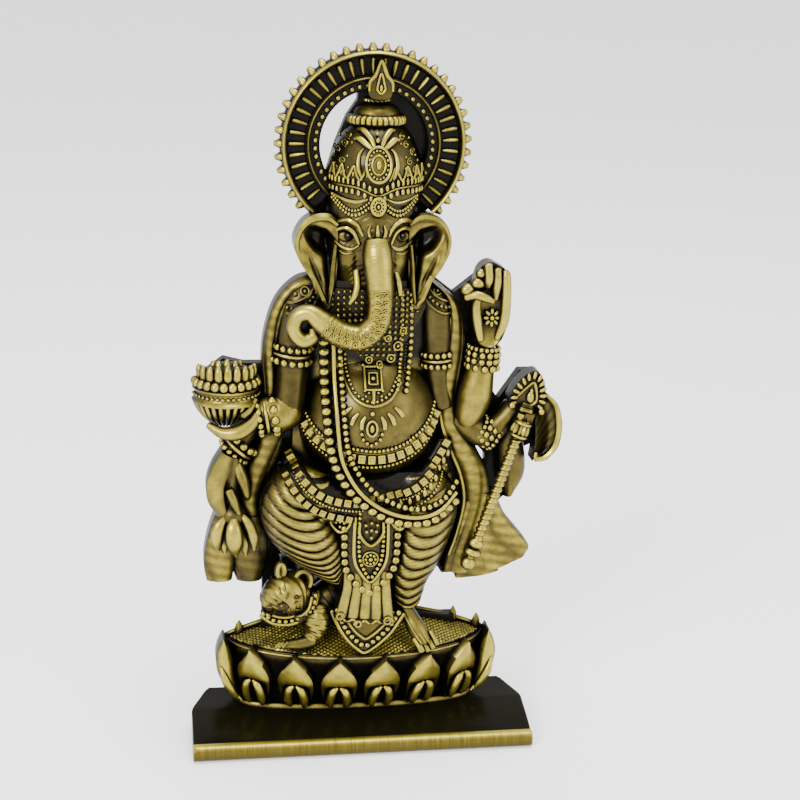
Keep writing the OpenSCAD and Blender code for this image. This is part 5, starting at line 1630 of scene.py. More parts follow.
def bowl_arm_parts():
    """The forearm that holds the bowl: elbow, wrist and the long crescent of the cupped hand."""
    parts = [tube([(-15.4, -2.4, 70.2, 3.9), (-17.6, -2.9, 69.2, 4.0), (-20.4, -3.0, 69.2, 3.2),
                   (-23, -3.2, 68.4, 2.4)], sides=28, count=60, wear_and_shading=0.85)]
    parts.append(tube([(-21.4, -5.2, 70.6, 0.7), (-22.8, -6.2, 68.2, 1.3), (-25.4, -6.8, 66.6, 1.5),
                       (-28.4, -6.4, 66.4, 1.2), (-31, -5.2, 67.6, 0.7)], sides=18, count=50, wear_and_shading=0.95))
    parts.append(tube([(-22.2, -4.4, 72.4, 0.7), (-23.2, -5.6, 70.8, 0.8), (-24.6, -6.6, 69.8, 0.7)],
                      sides=12, count=20, wear_and_shading=0.9))
    return parts


BOWL_X = -27.4
BOWL_Y = -1.0


def bowl_parts():
    """A deeply fluted bowl, with two ridges, a pierced band between and beads on its lip."""
    profile = [(0.6, 66.8), (2.6, 67.0), (3.4, 67.6), (4.4, 68.6), (5.4, 70.0), (6.0, 71.2), (6.3, 72.0)]
    core = lathe(spline(np.array(profile), 30) * [0.9, 1], BOWL_Y, x=BOWL_X, count=60, wear_and_shading=0.05)
    lip = [(6.2, 71.4), (6.7, 71.6), (6.8, 72.0), (6.4, 72.4), (6.2, 72.6), (6.2, 73.8), (6.6, 74.1),
           (6.7, 74.5), (6.3, 74.8), (3.0, 75.0), (0.3, 75.0)]
    parts = [core, lathe(lip, BOWL_Y, x=BOWL_X, count=72, wear_and_shading=0.9)]
    ring = lambda r, z, n: np.stack([BOWL_X + r * np.sin(n), BOWL_Y - r * np.cos(n), z + 0 * n], -1)
    for p in np.radians(np.linspace(-80, 80, 13)):
        r = np.array(profile)[1:, 0]
        rib_way = ring(r * 1.0, np.array(profile)[1:, 1], p * np.ones(len(r)))
        parts.append(tube(np.hstack([rib_way, [[0.3], [0.36], [0.44], [0.5], [0.52], [0.5]]]), sides=8,
                          count=24, wear_and_shading=0.95))
    parts.append(beads(ring(6.35, 73.2, np.radians(np.linspace(-84, 84, 19))), 0.42, (1, 0.8, 0.8)))
    parts.append(beads(ring(6.0, 75.5, np.radians(np.linspace(-86, 86, 12))), 0.98, lat=7, lon=12))
    return parts


def sweets_parts():
    """A heap of long drop-shaped sweets standing side by side, the tall row behind the lip."""
    parts = []
    drop = lathe([(0.05, 2.6), (0.45, 2.4), (0.75, 1.6), (0.9, 0.4), (0.86, -0.6), (0.5, -1.1),
                  (0.05, -1.25)], 0, span=(-180, 180), count=20, back=9)
    for r, z, n, size in ((4.9, 76.9, 9, 1.08), (2.2, 77.6, 5, 1.0)):
        a = np.radians(np.linspace(-78, 78, n))
        spots = np.stack([BOWL_X + r * np.sin(a), BOWL_Y - r * np.cos(a), z - 0.7 * np.abs(np.sin(a))], -1)
        parts.append(copies(drop, turned(spots, a * 0.16, np.full(n, size)), np.full(n, 0.95)))
    parts.append(lathe([(6.0, 74.9), (5.2, 76.8), (3.8, 78.2), (1.8, 79.0), (0.1, 79.2)], BOWL_Y,
                       x=BOWL_X, count=32, wear_and_shading=0.15))
    return parts


def lotus_arm_parts():
    """The lowered forearm and the smooth back of the hand, its fingers drawn in below."""
    parts = [tube([(-21.4, -0.4, 67, 2.0), (-23.6, -0.7, 65, 2.3), (-25.8, -1.0, 61.2, 2.6)],
                  sides=24, count=40, wear_and_shading=0.4)]
    left = [(-28.4, 61.4), (-30.4, 58), (-31.4, 54.6), (-31.2, 51.4), (-29.6, 48.4)]
    right = [(-24.2, 60), (-24.0, 57), (-24.6, 54), (-25.0, 51.4), (-25.6, 48.4)]
    def back(u, v, x, z):
        groove = 0.7 * bump(u, 0.5 + 0.16 * v, 0.06) * np.interp(v, [0.25, 0.45], [0, 1])
        return -2.4 - 2.6 * np.sin(np.pi * (0.06 + 0.88 * u)) ** 0.6 + groove
    # Painted light: the back of the hand is bright at its left edge and darkens towards the right, as the
    # light falls from the left; it darkens again along the groove.
    parts.append(slab(left, right, back, PLATE_FACE, rows=60, cols=50,
                      wear_and_shading=lambda u, v, x, z: 0.95 - 0.5 * u - 0.4 * bump(u, 0.5 + 0.16 * v, 0.1)))
    for pts in ([(-25.6, -3.6, 59, 1.1), (-24.4, -4.4, 56, 1.15), (-23.6, -4.2, 53.2, 0.95),
                 (-23.4, -3.8, 51.8, 0.5)],
                [(-27, -5.0, 54, 0.9), (-26, -5.4, 51.6, 0.9), (-25.2, -5.2, 49.4, 0.6)]):
        parts.append(tube(pts, sides=14, count=26, wear_and_shading=0.85))
    return parts


def lotus_bud_parts():
    """The flower that hangs from the hand: three broad petals with narrow ones between."""
    parts = [tube([(-26.4, -2.6, 50.4, 1.8), (-26.2, -2.8, 48.6, 3.0), (-26.0, -2.6, 46.6, 2.6)], sides=20,
                  count=26, wear_and_shading=0.4)]
    broad = [[(-27.4, -4.4, 48.6, 0.6), (-29.0, -5.2, 46.4, 1.25), (-29.5, -5.0, 43.8, 1.2),
              (-29.2, -4.4, 41.2, 0.3)],
             [(-26.0, -5.0, 48.6, 0.7), (-26.2, -6.0, 46.2, 1.6), (-26.0, -6.0, 43.2, 1.6),
              (-25.6, -5.2, 40.2, 0.3)],
             [(-24.8, -4.6, 48.8, 0.6), (-23.2, -5.2, 46.8, 1.1), (-22.2, -5.0, 44, 1.0),
              (-22.0, -4.4, 41.2, 0.3)]]
    narrow = [[(-27.4, -3.8, 45.4, 0.7), (-27.9, -4.2, 42.6, 0.8), (-27.8, -3.9, 40.4, 0.25)],
              [(-24.6, -3.8, 45.4, 0.7), (-24.0, -4.4, 42.4, 0.85), (-23.6, -4.0, 39.8, 0.25)]]
    for pts in broad + narrow:
        parts.append(tube(pts, sides=18, count=30, flat=0.7, wear_and_shading=0.95))
    return parts


def raised_arm_parts():
    """The raised forearm, smooth, its elbow resting against the shawl."""
    return [tube([(19.6, -2.6, 66.2, 2.2), (20.0, -3.0, 68.4, 3.0), (21.0, -3.2, 72.4, 3.6),
                  (21.8, -3.2, 77, 3.0), (22.6, -3.0, 81.4, 2.6)],
                 sides=28, count=60, wear_and_shading=0.92)]


def raised_hand_parts():
    """The raised palm, hollow between its two bright edges, with a plain flower in it.

    Three fingers stand; the two others and the thumb are folded to the left.
    """
    outline = [(20.4, 84.6), (22, 82.8), (24.4, 82.8), (26.0, 85.4), (26.7, 89.4), (26.4, 93), (24.8, 95),
               (22.6, 94.8), (20.8, 93), (20.0, 89.6)]
    hollow = lambda q, x, z: -5.2 + 1.3 * np.sqrt(np.clip(1 - q ** 2, 0, 1))
    palm = pillow(outline, (23.4, 89), hollow, -0.8, rings=18, count=72,
                  wear_and_shading=lambda q, x, z: 0.35 + 0.6 * q ** 3)
    face = lambda x, z: -4.3 + 0 * x
    web = pillow([(20.6, 92.6), (20.0, 95.4), (20.8, 98.2), (22.6, 99.4), (24.6, 98.6), (26.2, 97.2),
                  (26.4, 92.8), (23.4, 91.6)], (23.2, 95.4), lambda q, x, z: -4.4 + 0 * q, -0.8, rings=8,
                 count=48, wear_and_shading=0.3)
    parts = [palm, web]
    parts.append(tube([(25.0, -4.0, 84.2, 0.9), (25.9, -4.8, 88, 1.0), (26.0, -5.2, 92, 1.0),
                       (25.8, -5.2, 96.4, 0.95), (25.6, -5.0, 97.6, 0.7)], sides=16, count=50, wear_and_shading=1.0))
    parts.append(tube([(23.8, -4.8, 92.4, 0.85), (24.1, -5.3, 95.4, 0.9), (24.0, -5.2, 98.0, 0.8)],
                      sides=16, count=30, wear_and_shading=1.0))
    parts.append(tube([(22.3, -4.8, 94.8, 0.8), (22.4, -5.3, 96.4, 0.95), (22.1, -5.2, 98.9, 0.9)],
                      sides=16, count=30, wear_and_shading=1.0))
    parts.append(tube([(21.4, -4.2, 84.0, 0.9), (20.6, -4.8, 87.6, 1.0), (20.2, -5.0, 90.8, 0.95),
                       (20.6, -5.2, 92.8, 0.8)], sides=16, count=40, wear_and_shading=0.95))
    parts.append(tube([(18.2, -5.0, 92.6, 0.8), (20.0, -5.8, 93.2, 0.9), (21.8, -6.2, 92.7, 0.85),
                       (23.2, -6.2, 92.0, 0.55)], sides=14, count=30, wear_and_shading=0.95))
    for x, z, r in [(18.4, 94.0, 1.25), (20.4, 95.2, 1.25), (21.0, 97.2, 1.0)]:
        parts.append(beads([[x, -4.6, z]], r, (1.2, 1, 1), lat=9, lon=16, wear_and_shading=0.95))
    a = np.radians(np.arange(8) * 45)
    spots = np.stack([23.5 + 1.15 * np.sin(a), 88.4 + 1.25 * np.cos(a)], -1)
    leaf = beads([[0, 0, 0]], 1.0, (0.42, 0.4, 0.7), lat=6, lon=10)
    parts.append(copies(leaf, turned(draped(spots, face, 0.35), a, 1.0), np.ones(8)))
    parts.append(beads(draped([(23.5, 88.4)], face, 0.6), 0.55, lat=6, lon=10))
    return parts


def axe_arm_parts():
    """The lowered forearm, the shaded hand behind the handle and the fall of the scarf."""
    parts = [tube([(18.4, -2.0, 67.6, 2.6), (21, -2.5, 65.4, 2.8), (24, -2.4, 64.0, 2.6),
                   (27.0, -2.2, 66.4, 2.4), (29.4, -2.0, 69, 2.6)], sides=24, count=50,
                  wear_and_shading=0.55)]
    left = [(27.4, 66), (26.6, 62), (27.0, 57.6), (27.4, 54), (28.2, 50.6)]
    right = [(31.4, 66), (32.0, 62), (32.6, 58), (32.4, 54.6), (30.4, 51)]
    parts.append(slab(left, right, lambda u, v, x, z: -1.4 - 2.2 * np.sin(np.pi * u) ** 0.6, PLATE_FACE,
                      rows=50, cols=30, wear_and_shading=lambda u, v, x, z: 0.35 + 0.3 * v + 0 * u))
    return parts


def axe_handle_parts():
    """Fluted ferrule, handle wound with a spiral, and three bulbs at its end."""
    a, b = np.array([29.6, -6.2, 64.8]), np.array([22.4, -6.2, 42.6])
    t = np.linspace(0, 1, 12)[:, None]
    way = np.hstack([a + (b - a) * t, np.full((12, 1), 1.0)])
    wound = lambda s, ang: 1 + 0.16 * np.cos(ang + 2 * np.pi * 20 * s)
    parts = [tube(way, sides=20, count=260, ripple=wound, wear_and_shading=0.95)]
    down = (b - a) / np.linalg.norm(b - a)
    lean = math.degrees(math.atan2(a[0] - b[0], a[2] - b[2]))
    flutes = lambda s, ang: 1 + 0.12 * np.cos(10 * ang)
    top = a - down * 0.2
    parts.append(tube([(*(top - down * 2.2), 1.5), (*(top - down * 0.9), 1.75), (*top, 1.5)], sides=60,
                      count=20, ripple=flutes, wear_and_shading=0.95))
    for at in (-2.6, 0.1):
        parts.append(cuff(tuple(top + down * at), lean, 1.7, [(0, "bar", 0.3)], span=150)[0])
    for at, r, w in [(0.5, 1.7, 0.7), (2.5, 1.9, 0.55), (5.0, 1.55, 1.0)]:
        c = b + down * at
        ring = beads([[0, 0, 0]], 1.0, (1, 0.9, w), lat=10, lon=18)
        parts.append(copies(ring, turned([c], np.radians([lean]), r), np.ones(1)))
    parts.append(tube([(*b, 0.8), (*(b + down * 5), 0.9)], sides=12, count=10, wear_and_shading=0.8))
    return parts


def axe_head_parts():
    """Crest with a beaded rim round a bright drop, a carved socket, and the hollow blade."""
    crest = [(28.0, 71.2), (28.4, 73.4), (30, 75.8), (31.8, 77.2), (33.4, 77.4), (34.6, 75.8),
             (35.2, 73), (34.6, 70.4), (32.2, 69.4), (29.8, 69.6)]
    top = lambda q, x, z: -4.4 - 0.3 * (1 - q)
    parts = [pillow(crest, (31.8, 73.2), top, -0.8, rings=14, count=80, wear_and_shading=0.3)]
    flat = lambda x, z: -4.6 + 0 * x
    rim = [(28.6, 71), (29.2, 73.4), (30.6, 75.4), (32.2, 76.6), (33.6, 76.2), (34.4, 74.2), (34.6, 71.8),
           (34.2, 70)]
    way = even(draped(spline(np.array(rim), 100), flat, 0.15), 1.2)
    ray = beads([[0, 0, 0]], 1.0, (0.46, 0.5, 0.85), lat=6, lon=10)
    lean = np.arctan2(way[:, 0] - 31.8, way[:, 2] - 72.4)
    parts.append(copies(ray, turned(way, lean, np.ones(len(way))), np.ones(len(way))))
    parts.append(brass_line([(29.6, 72.6), (31, 74.0), (32.6, 75.2), (33.2, 73.4), (33.2, 71.4), (32, 70.6),
                             (30.8, 70.9)], flat, 0.2, 0.3))
    parts.append(beads(draped([(32.0, 72.2)], flat, 0.4), 1.0, (0.8, 0.6, 1.2), lat=9, lon=14))
    parts.append(beads(draped([(32.2, 73.4)], flat, 0.4), 0.5, (0.7, 0.6, 1.3), lat=6, lon=10))
    parts.append(beads(draped([(28.4, 70.6), (34.4, 69.2)], flat, 0.3), 0.75, lat=7, lon=12))
    angle = math.radians(17)
    for dx, dz, w, h, shade in [(-1.1, 0.2, 0.75, 1.9, 1.0), (0.7, 0.1, 1.1, 1.9, 0.4),
                                (0.3, 2.5, 1.5, 0.4, 0.75)]:
        spot = [[30.8 + dx, -5.4, 67.4 + dz]]
        parts.append(copies(block(w, h, 0.7), turned(spot, np.array([angle]), np.ones(1)), np.array([shade])))
    parts.append(beads([[31.4, -6.2, 67.0]], 0.62, lat=7, lon=12))
    parts.append(tube([(30.2, -3.6, 65.0, 2.0), (31.0, -3.6, 67.6, 2.3), (31.6, -3.4, 70, 2.0)], sides=18,
                      count=24, wear_and_shading=0.25))
    left = [(33.2, 70), (33.4, 67.2), (33.6, 64.6), (33.6, 62.2), (33.4, 60.4), (33.2, 58.8)]
    right = [(35.6, 72.6), (37.8, 70.4), (38.8, 67.4), (38.9, 64.4), (38.2, 61.4), (36.2, 59.0)]
    parts.append(slab(left, right, lambda u, v, x, z: -4.9 + 2.2 * np.sin(np.pi * (u ** 1.4)) ** 0.8, -0.8,
                      rows=60, cols=50,
                      wear_and_shading=lambda u, v, x, z: 0.2 + 0.25 * np.sin(22 * v + 6 * u) ** 2 + 0.7 * u ** 8))
    parts.append(brass_line([(35.4, 72.6), (37.4, 70.4), (38.2, 67.4), (38.3, 64.4), (37.5, 61.4),
                             (35.8, 59.5), (34.0, 59.1)], flat, 0.1, [0.3, 0.5, 0.6, 0.6, 0.6, 0.6, 0.5]))
    parts.append(fold_bar([(34.2, -4.8, 59.1), (33.7, -4.9, 59.8), (33.8, -5.0, 60.6)], 0.4, 1.0))
    return parts


# ---------------------------------------------------------------- mouse

def fur(s, a):
    """Locks of fur on a limb: short wedge waves that break from row to row."""
    row = np.floor(s * 9)
    return 1 + 0.11 * np.abs(np.sin(3 * a + 1.7 * row)) * (1 - (s * 9 - row)) - 0.04


def mouse_body_parts():
    """The mouse's back in the shade of the knee, its furred foreleg, paw and tail root."""
    parts = [tube([(-3.4, -1.6, 30.6, 2.6), (-6.4, -1.8, 29.4, 3.8), (-9.6, -2.4, 27.6, 4.4),
                   (-13.4, -3.0, 28, 3.8)], sides=28, count=80, ripple=fur, wear_and_shading=0.32),
             tube([(-9.2, -5.0, 28.4, 2.4), (-9.4, -6.0, 26.4, 2.7), (-10.0, -6.5, 24.2, 2.2),
                   (-10.8, -6.9, 22.8, 1.5)], sides=28, count=70, ripple=fur, wear_and_shading=0.95),
             tube([(-10.4, -7.0, 22.4, 1.3), (-12.6, -7.4, 22.0, 1.2), (-15.0, -7.6, 21.9, 0.95),
                   (-17.0, -7.6, 21.9, 0.7)], sides=16, count=30, wear_and_shading=0.6)]
    for x in (-17.6, -17.0, -16.2):
        toe = [(x + 0.6, -8.1, 22.5, 0.42), (x - 0.2, -8.6, 22.0, 0.42), (x - 0.3, -8.6, 21.6, 0.3)]
        parts.append(tube(toe, sides=8, count=12, wear_and_shading=0.7))
    return parts


MOUSE_HEAD = [(-13.4, -4.4, 31.6, 4.1), (-15.6, -5.2, 32.2, 4.6), (-17.6, -5.4, 31.6, 3.6),
              (-19.2, -5.2, 30.4, 2.4)]


def mouse_head_parts():
    """Round furred head turned to the front: snub nose, two ears, eye and whisker tufts."""
    tufts = lambda s, a: 1 + 0.035 * np.sin(9 * a + 40 * s) * np.sin(14 * s + 2 * a)
    parts = [tube(MOUSE_HEAD, sides=48, count=90, ripple=tufts, wear_and_shading=0.9)]
    side = lambda x, z: limb_y(MOUSE_HEAD, x, z)
    parts.append(beads(draped([(-16.6, 31.0)], side, -0.2), 1.05, (1.15, 0.6, 0.8), lat=8, lon=14, wear_and_shading=0.3))
    parts.append(beads(draped([(-17.0, 31.4)], side, 0.3), 0.24, lat=5, lon=8, wear_and_shading=0.9))
    for dx, dz in [(-1.3, 0.9), (0.6, 1.7), (1.9, 0.6), (2.3, -0.8), (-2.2, -0.4), (-0.6, 2.6), (1.2, -2.0),
                   (-1.6, -1.8), (2.9, 1.6), (0.2, 3.4)]:
        a = math.atan2(dz, dx)
        pts = [(-16.6 + dx + k * 1.3 * math.cos(a), 31 + dz + k * 1.3 * math.sin(a)) for k in (0, 0.5, 1)]
        parts.append(brass_line(pts, side, 0.02, [0.12, 0.2, 0.08], wear_and_shading=0.7))
    ear = lambda c, rx, rz, t: brass_line([(c[0] + rx * math.sin(k), c[1] + rz * math.cos(k))
                                           for k in np.radians(np.linspace(t - 150, t + 150, 9))],
                                          lambda x, z: -6.0 + 0 * x, 0.4, 0.7)
    for c, rx, rz, shade in (((-12.5, 35.2), 1.5, 2.0, 0.05), ((-16.9, 37.4), 0.6, 1.4, 0.4)):
        parts.append(ear(c, rx, rz, -20))
        parts.append(pillow(oval(c[0], c[1], rx, rz, 20), c, lambda q, x, z: -5.2 + 0.8 * (1 - q ** 2),
                            -1, rings=8, count=24, wear_and_shading=shade))
    parts.append(beads(draped([(-14.0, 33.0)], side, -0.1), 0.5, lat=6, lon=10, wear_and_shading=0.3))
    return parts


def mouse_collar_parts():
    """Collar with a row of beads between two cords."""
    skin = lambda x, z: np.minimum(limb_y(MOUSE_HEAD, x, z), -5.0)
    turns = [math.radians(t) for t in (-46, -20, 10, 35, 60, 88)]
    arc = lambda r: [(-16.0 + 1.02 * r * math.sin(t), 32.6 - 1.12 * r * math.cos(t)) for t in turns]
    return [brass_line(arc(5.0), skin, 1.0, 0.34), brass_line(arc(6.5), skin, 0.8, 0.42),
            string(arc(5.8), skin, 1.0, 0.55, 1.25),
            brass_line(arc(5.8), skin, -0.3, 0.7, flat=0.5, wear_and_shading=0.1)]




# ---------------------------------------------------------------- stage

def aimed(where, target, roll=0.0):
    """A 4 x 4 matrix in metres: at where, looking down its own -Z at the target, rolled."""
    where, target = np.array(where, float), np.array(target, float)
    back = (where - target) / np.linalg.norm(where - target)
    right = np.cross([0, 0, 1.0], back)
    right /= np.linalg.norm(right)
    up = np.cross(back, right)
    c, s = math.cos(roll), math.sin(roll)
    m = np.eye(4)
    m[:3, 0] = right * c + up * s
    m[:3, 1] = up * c - right * s
    m[:3, 2] = back
    m[:3, 3] = where * MM
    return Matrix(m.tolist())


def floor_finish():
    """Pale, matt floor."""
    mat, tree, shader = new_material("floor_finish")
    where = add(tree, "ShaderNodeTexCoord").outputs["Object"]
    cloud = add(tree, "ShaderNodeTexNoise", in_Scale=6.0, in_Detail=2.0)
    link(tree, where, cloud.inputs["Vector"])
    ramp = add(tree, "ShaderNodeValToRGB")
    pale = np.array(colours().floor)
    ramp.color_ramp.elements[0].color = (*(pale * 0.985), 1)
    ramp.color_ramp.elements[1].color = (*pale, 1)
    link(tree, cloud.outputs["Fac"], ramp.inputs[0])
    link(tree, ramp.outputs[0], shader.inputs["Base Color"])
    shader.inputs["Roughness"].default_value = 0.6
    return mat


CAMERA_PLACE = np.array([-42.8, -298.2, 165.0])
CAMERA_YAW = math.radians(9.45)
CAMERA_PITCH = math.radians(17.36)
CAMERA_ROLL = math.radians(2.05)
FLOOR_HALF = 3000
LAMPS = {"key": ((-420, -520, 420), 0.26, 7.0), "fill": ((560, -420, 260), 0.40, 2.0),
         "top": ((60, -60, 760), 0.34, 6.0)}


def set_stage():
    """Floor at the height of the base, white surround, three soft lamps and the camera."""
    scene = bpy.context.scene
    size = FLOOR_HALF * MM
    floor_mesh = bpy.data.meshes.new("floor")
    floor_mesh.from_pydata([(-size, -size, 0), (size, -size, 0), (size, size, 0), (-size, size, 0)],
                           [], [(0, 1, 2, 3)])
    floor = bpy.data.objects.new("floor", floor_mesh)
    floor.location.z = TABLE_Z * MM
    floor_mesh.materials.append(floor_finish())
    scene.collection.objects.link(floor)
    world = bpy.data.worlds.new("studio")
    world.use_nodes = True
    surround = world.node_tree.nodes["Background"]
    surround.inputs["Color"].default_value = (1, 1, 1, 1)
    surround.inputs["Strength"].default_value = 2.0
    scene.world = world
    for name, (where, width, power) in LAMPS.items():
        lamp = bpy.data.lights.new(name, "AREA")
        lamp.size = width
        lamp.energy = power
        holder = bpy.data.objects.new(name, lamp)
        holder.matrix_world = aimed(where, (0, 0, 70))
        scene.collection.objects.link(holder)
    camera = bpy.data.cameras.new("camera")
    camera.lens = sizes().lens
    camera.sensor_width = 36
    camera.clip_start = 10 * MM
    holder = bpy.data.objects.new("camera", camera)
    level = math.cos(CAMERA_PITCH)
    ahead = np.array([math.sin(CAMERA_YAW) * level, math.cos(CAMERA_YAW) * level, -math.sin(CAMERA_PITCH)])
    holder.matrix_world = aimed(CAMERA_PLACE, CAMERA_PLACE + 300 * ahead, CAMERA_ROLL)
    scene.collection.objects.link(holder)
    scene.camera = holder


# ---------------------------------------------------------------- operators

class BuildBase(bpy.types.Operator):
    """Lacquered base plate with its bright rail; the felt, screws and plate keep their shape"""
    bl_idname = "figurine.base"
    bl_label = "Base"

    def execute(self, context):
        make("base_plate_brass", base_parts(), finish("base"), ["base_plate"])
        dress("felt_pad", "felt")
        dress("base_screws", "steel")
        return {"FINISHED"}


class BuildSeat(bpy.types.Operator):
    """Lotus seat: core, foot moulding, and the front and outer petals"""
    bl_idname = "figurine.seat"
    bl_label = "Lotus Seat"

    def execute(self, context):
        cast("seat_core", seat_core_parts(), "soft")
        make("seat_foot_moulding", seat_foot_parts(), finish("soft"), ["seat_foot"])
        cast("front_petals", front_petal_parts(), "raised")
        cast("outer_petals", outer_petal_parts(), "raised")
        return {"FINISHED"}


class BuildBackPlate(bpy.types.Operator):
    """Stains the back plate and its rivets, which keep their shape"""
    bl_idname = "figurine.back_plate"
    bl_label = "Back Plate"

    def execute(self, context):
        dress("back_plate", "plate")
        dress("plate_rivets", "fine")
        return {"FINISHED"}


class BuildHalo(bpy.types.Operator):
    """Halo: plate, rings, outer teeth, spokes and beads"""
    bl_idname = "figurine.halo"
    bl_label = "Halo"

    def execute(self, context):
        cast("halo_plate", halo_plate_parts(), "plate")
        cast("halo_rings", halo_ring_parts(), "raised")
        cast("halo_rays", halo_ray_parts(), "raised")
        cast("halo_spokes", halo_spoke_parts(), "raised")
        cast("halo_beads", halo_bead_parts(), "raised")
        return {"FINISHED"}


class BuildCrown(bpy.types.Operator):
    """Crown: dome, cap, finial, crest and bead rows"""
    bl_idname = "figurine.crown"
    bl_label = "Crown"

    def execute(self, context):
        cast("crown_dome", crown_dome_parts(), "skin")
        cast("crown_cap", crown_cap_parts(), "raised")
        cast("crown_finial", crown_finial_parts(), "raised")
        cast("crown_crest", crown_crest_parts(), "fine")
        cast("crown_bead_rows", crown_bead_row_parts(), "fine")
        return {"FINISHED"}


class BuildHead(bpy.types.Operator):
    """Head: face, eyes, forehead ornament and the two ears"""
    bl_idname = "figurine.head"
    bl_label = "Head"

    def execute(self, context):
        cast("head", head_parts(), "skin")
        cast("eyes", eye_parts(), "fine")
        cast("forehead_mark", forehead_mark_parts(), "fine")
        cast("forehead_chains", forehead_chain_parts(), "fine")
        cast("left_ear", ear_parts(-1), "ear")
        cast("right_ear", ear_parts(1), "ear")
        return {"FINISHED"}


class BuildTrunk(bpy.types.Operator):
    """Trunk with its ladder of curls, and the tusks"""
    bl_idname = "figurine.trunk"
    bl_label = "Trunk and Tusks"

    def execute(self, context):
        cast("trunk", trunk_parts(), "raised")
        cast("tusks", tusk_parts(), "raised")
        return {"FINISHED"}


class BuildTorso(bpy.types.Operator):
    """Torso with its round belly, and the two upper arms"""
    bl_idname = "figurine.torso"
    bl_label = "Torso"

    def execute(self, context):
        cast("torso", torso_parts(), "skin")
        cast("left_upper_arm", upper_arm_parts(LEFT_ARM, -1), "skin")
        cast("right_upper_arm", upper_arm_parts(RIGHT_ARM, 1), "skin")
        return {"FINISHED"}


class BuildJewels(bpy.types.Operator):
    """Jewellery: collar, pendant, garland, strands, belts, armlets and bracelets"""
    bl_idname = "figurine.jewels"
    bl_label = "Jewellery"

    def execute(self, context):
        cast("collar", collar_parts(), "fine")
        cast("pendant", pendant_parts(), "fine")
        cast("garland", garland_parts(), "fine")
        cast("side_strand", side_strand_parts(), "fine")
        cast("belly_belt", belly_belt_parts(), "fine")
        cast("waist_belt", waist_belt_parts(), "fine")
        cast("armlets", armlet_parts(), "fine")
        cast("bracelets", bracelet_parts(), "fine")
        return {"FINISHED"}


class BuildLegs(bpy.types.Operator):
    """Legs in their folds of cloth, and the foot that hangs over the seat"""
    bl_idname = "figurine.legs"
    bl_label = "Legs"

    def execute(self, context):
        cast("left_leg", left_leg_parts(), "cloth")
        cast("right_leg", right_leg_parts(), "cloth")
        cast("right_foot", right_foot_parts(), "soft")
        return {"FINISHED"}


class BuildCloth(bpy.types.Operator):
    """Cloth: apron panel, pleats, pointed hem and the two ends of the shawl"""
    bl_idname = "figurine.cloth"
    bl_label = "Cloth"

    def execute(self, context):
        cast("apron", apron_parts(), "fine")
        cast("pleats", pleat_parts(), "cloth")
        cast("hem_cloth", hem_cloth_parts(), "raised")
        cast("left_shawl", left_shawl_parts(), "cloth")
        cast("right_shawl", right_shawl_parts(), "cloth")
        return {"FINISHED"}


class BuildBowl(bpy.types.Operator):
    """The hand with the bowl, the bowl and its sweets"""
    bl_idname = "figurine.bowl"
    bl_label = "Bowl Hand"

    def execute(self, context):
        cast("bowl_arm", bowl_arm_parts(), "soft")
        cast("bowl", bowl_parts(), "raised")
        cast("sweets", sweets_parts(), "raised")
        return {"FINISHED"}


class BuildLotus(bpy.types.Operator):
    """The lowered hand and the flower that hangs from it"""
    bl_idname = "figurine.lotus"
    bl_label = "Flower Hand"

    def execute(self, context):
        cast("lotus_arm", lotus_arm_parts(), "soft")
        cast("lotus_bud", lotus_bud_parts(), "raised")
        return {"FINISHED"}


class BuildRaised(bpy.types.Operator):
    """The raised forearm and its open hand"""
    bl_idname = "figurine.raised"
    bl_label = "Raised Hand"

    def execute(self, context):
        cast("raised_arm", raised_arm_parts(), "soft")
        cast("raised_hand", raised_hand_parts(), "raised")
        return {"FINISHED"}


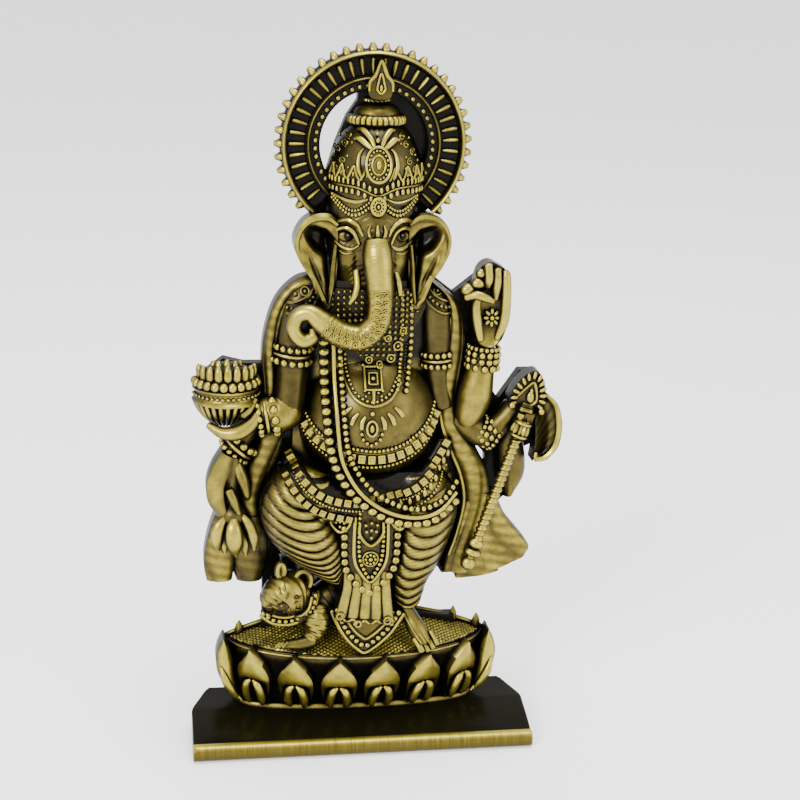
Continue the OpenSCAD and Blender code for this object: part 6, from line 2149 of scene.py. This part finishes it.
class BuildAxe(bpy.types.Operator):
    """The hand with the axe, its wound handle and its blade"""
    bl_idname = "figurine.axe"
    bl_label = "Axe Hand"

    def execute(self, context):
        cast("axe_arm", axe_arm_parts(), "soft")
        cast("axe_handle", axe_handle_parts(), "raised")
        cast("axe_head", axe_head_parts(), "raised")
        return {"FINISHED"}


class BuildMouse(bpy.types.Operator):
    """The mouse beside the knee, with its collar"""
    bl_idname = "figurine.mouse"
    bl_label = "Mouse"

    def execute(self, context):
        cast("mouse_body", mouse_body_parts(), "soft")
        cast("mouse_head", mouse_head_parts(), "soft")
        cast("mouse_collar", mouse_collar_parts(), "fine")
        return {"FINISHED"}


class SetStage(bpy.types.Operator):
    """Floor, white surround, lamps and camera"""
    bl_idname = "figurine.stage"
    bl_label = "Stage"

    def execute(self, context):
        set_stage()
        return {"FINISHED"}


BUILDERS = (BuildBase, BuildSeat, BuildBackPlate, BuildHalo, BuildCrown, BuildHead, BuildTrunk,
            BuildTorso, BuildJewels, BuildLegs, BuildCloth, BuildBowl, BuildLotus, BuildRaised,
            BuildAxe, BuildMouse, SetStage)


class FigurinePanel(bpy.types.Panel):
    """Settings and the builders in order"""
    bl_idname = "VIEW3D_PT_figurine"
    bl_label = "Figurine"
    bl_space_type = "VIEW_3D"
    bl_region_type = "UI"
    bl_category = "Figurine"

    def draw(self, context):
        for group in (context.scene.figurine_colours, context.scene.figurine_sizes):
            box = self.layout.box()
            for name in group.__annotations__:
                box.prop(group, name)
        for builder in BUILDERS:
            self.layout.operator(builder.bl_idname)


CLASSES = (FigurineColours, FigurineSizes, *BUILDERS, FigurinePanel)


def register():
    """Registers the settings, the operators and the panel."""
    for cls in CLASSES:
        bpy.utils.register_class(cls)
    bpy.types.Scene.figurine_colours = bpy.props.PointerProperty(type=FigurineColours)
    bpy.types.Scene.figurine_sizes = bpy.props.PointerProperty(type=FigurineSizes)


def unregister():
    """Takes them away again, in the opposite order."""
    del bpy.types.Scene.figurine_sizes
    del bpy.types.Scene.figurine_colours
    for cls in reversed(CLASSES):
        bpy.utils.unregister_class(cls)


def main():
    """Builds every group in order."""
    register()
    for builder in BUILDERS:
        group, name = builder.bl_idname.split(".")
        getattr(getattr(bpy.ops, group), name)()


if __name__ == "__main__":
    main()
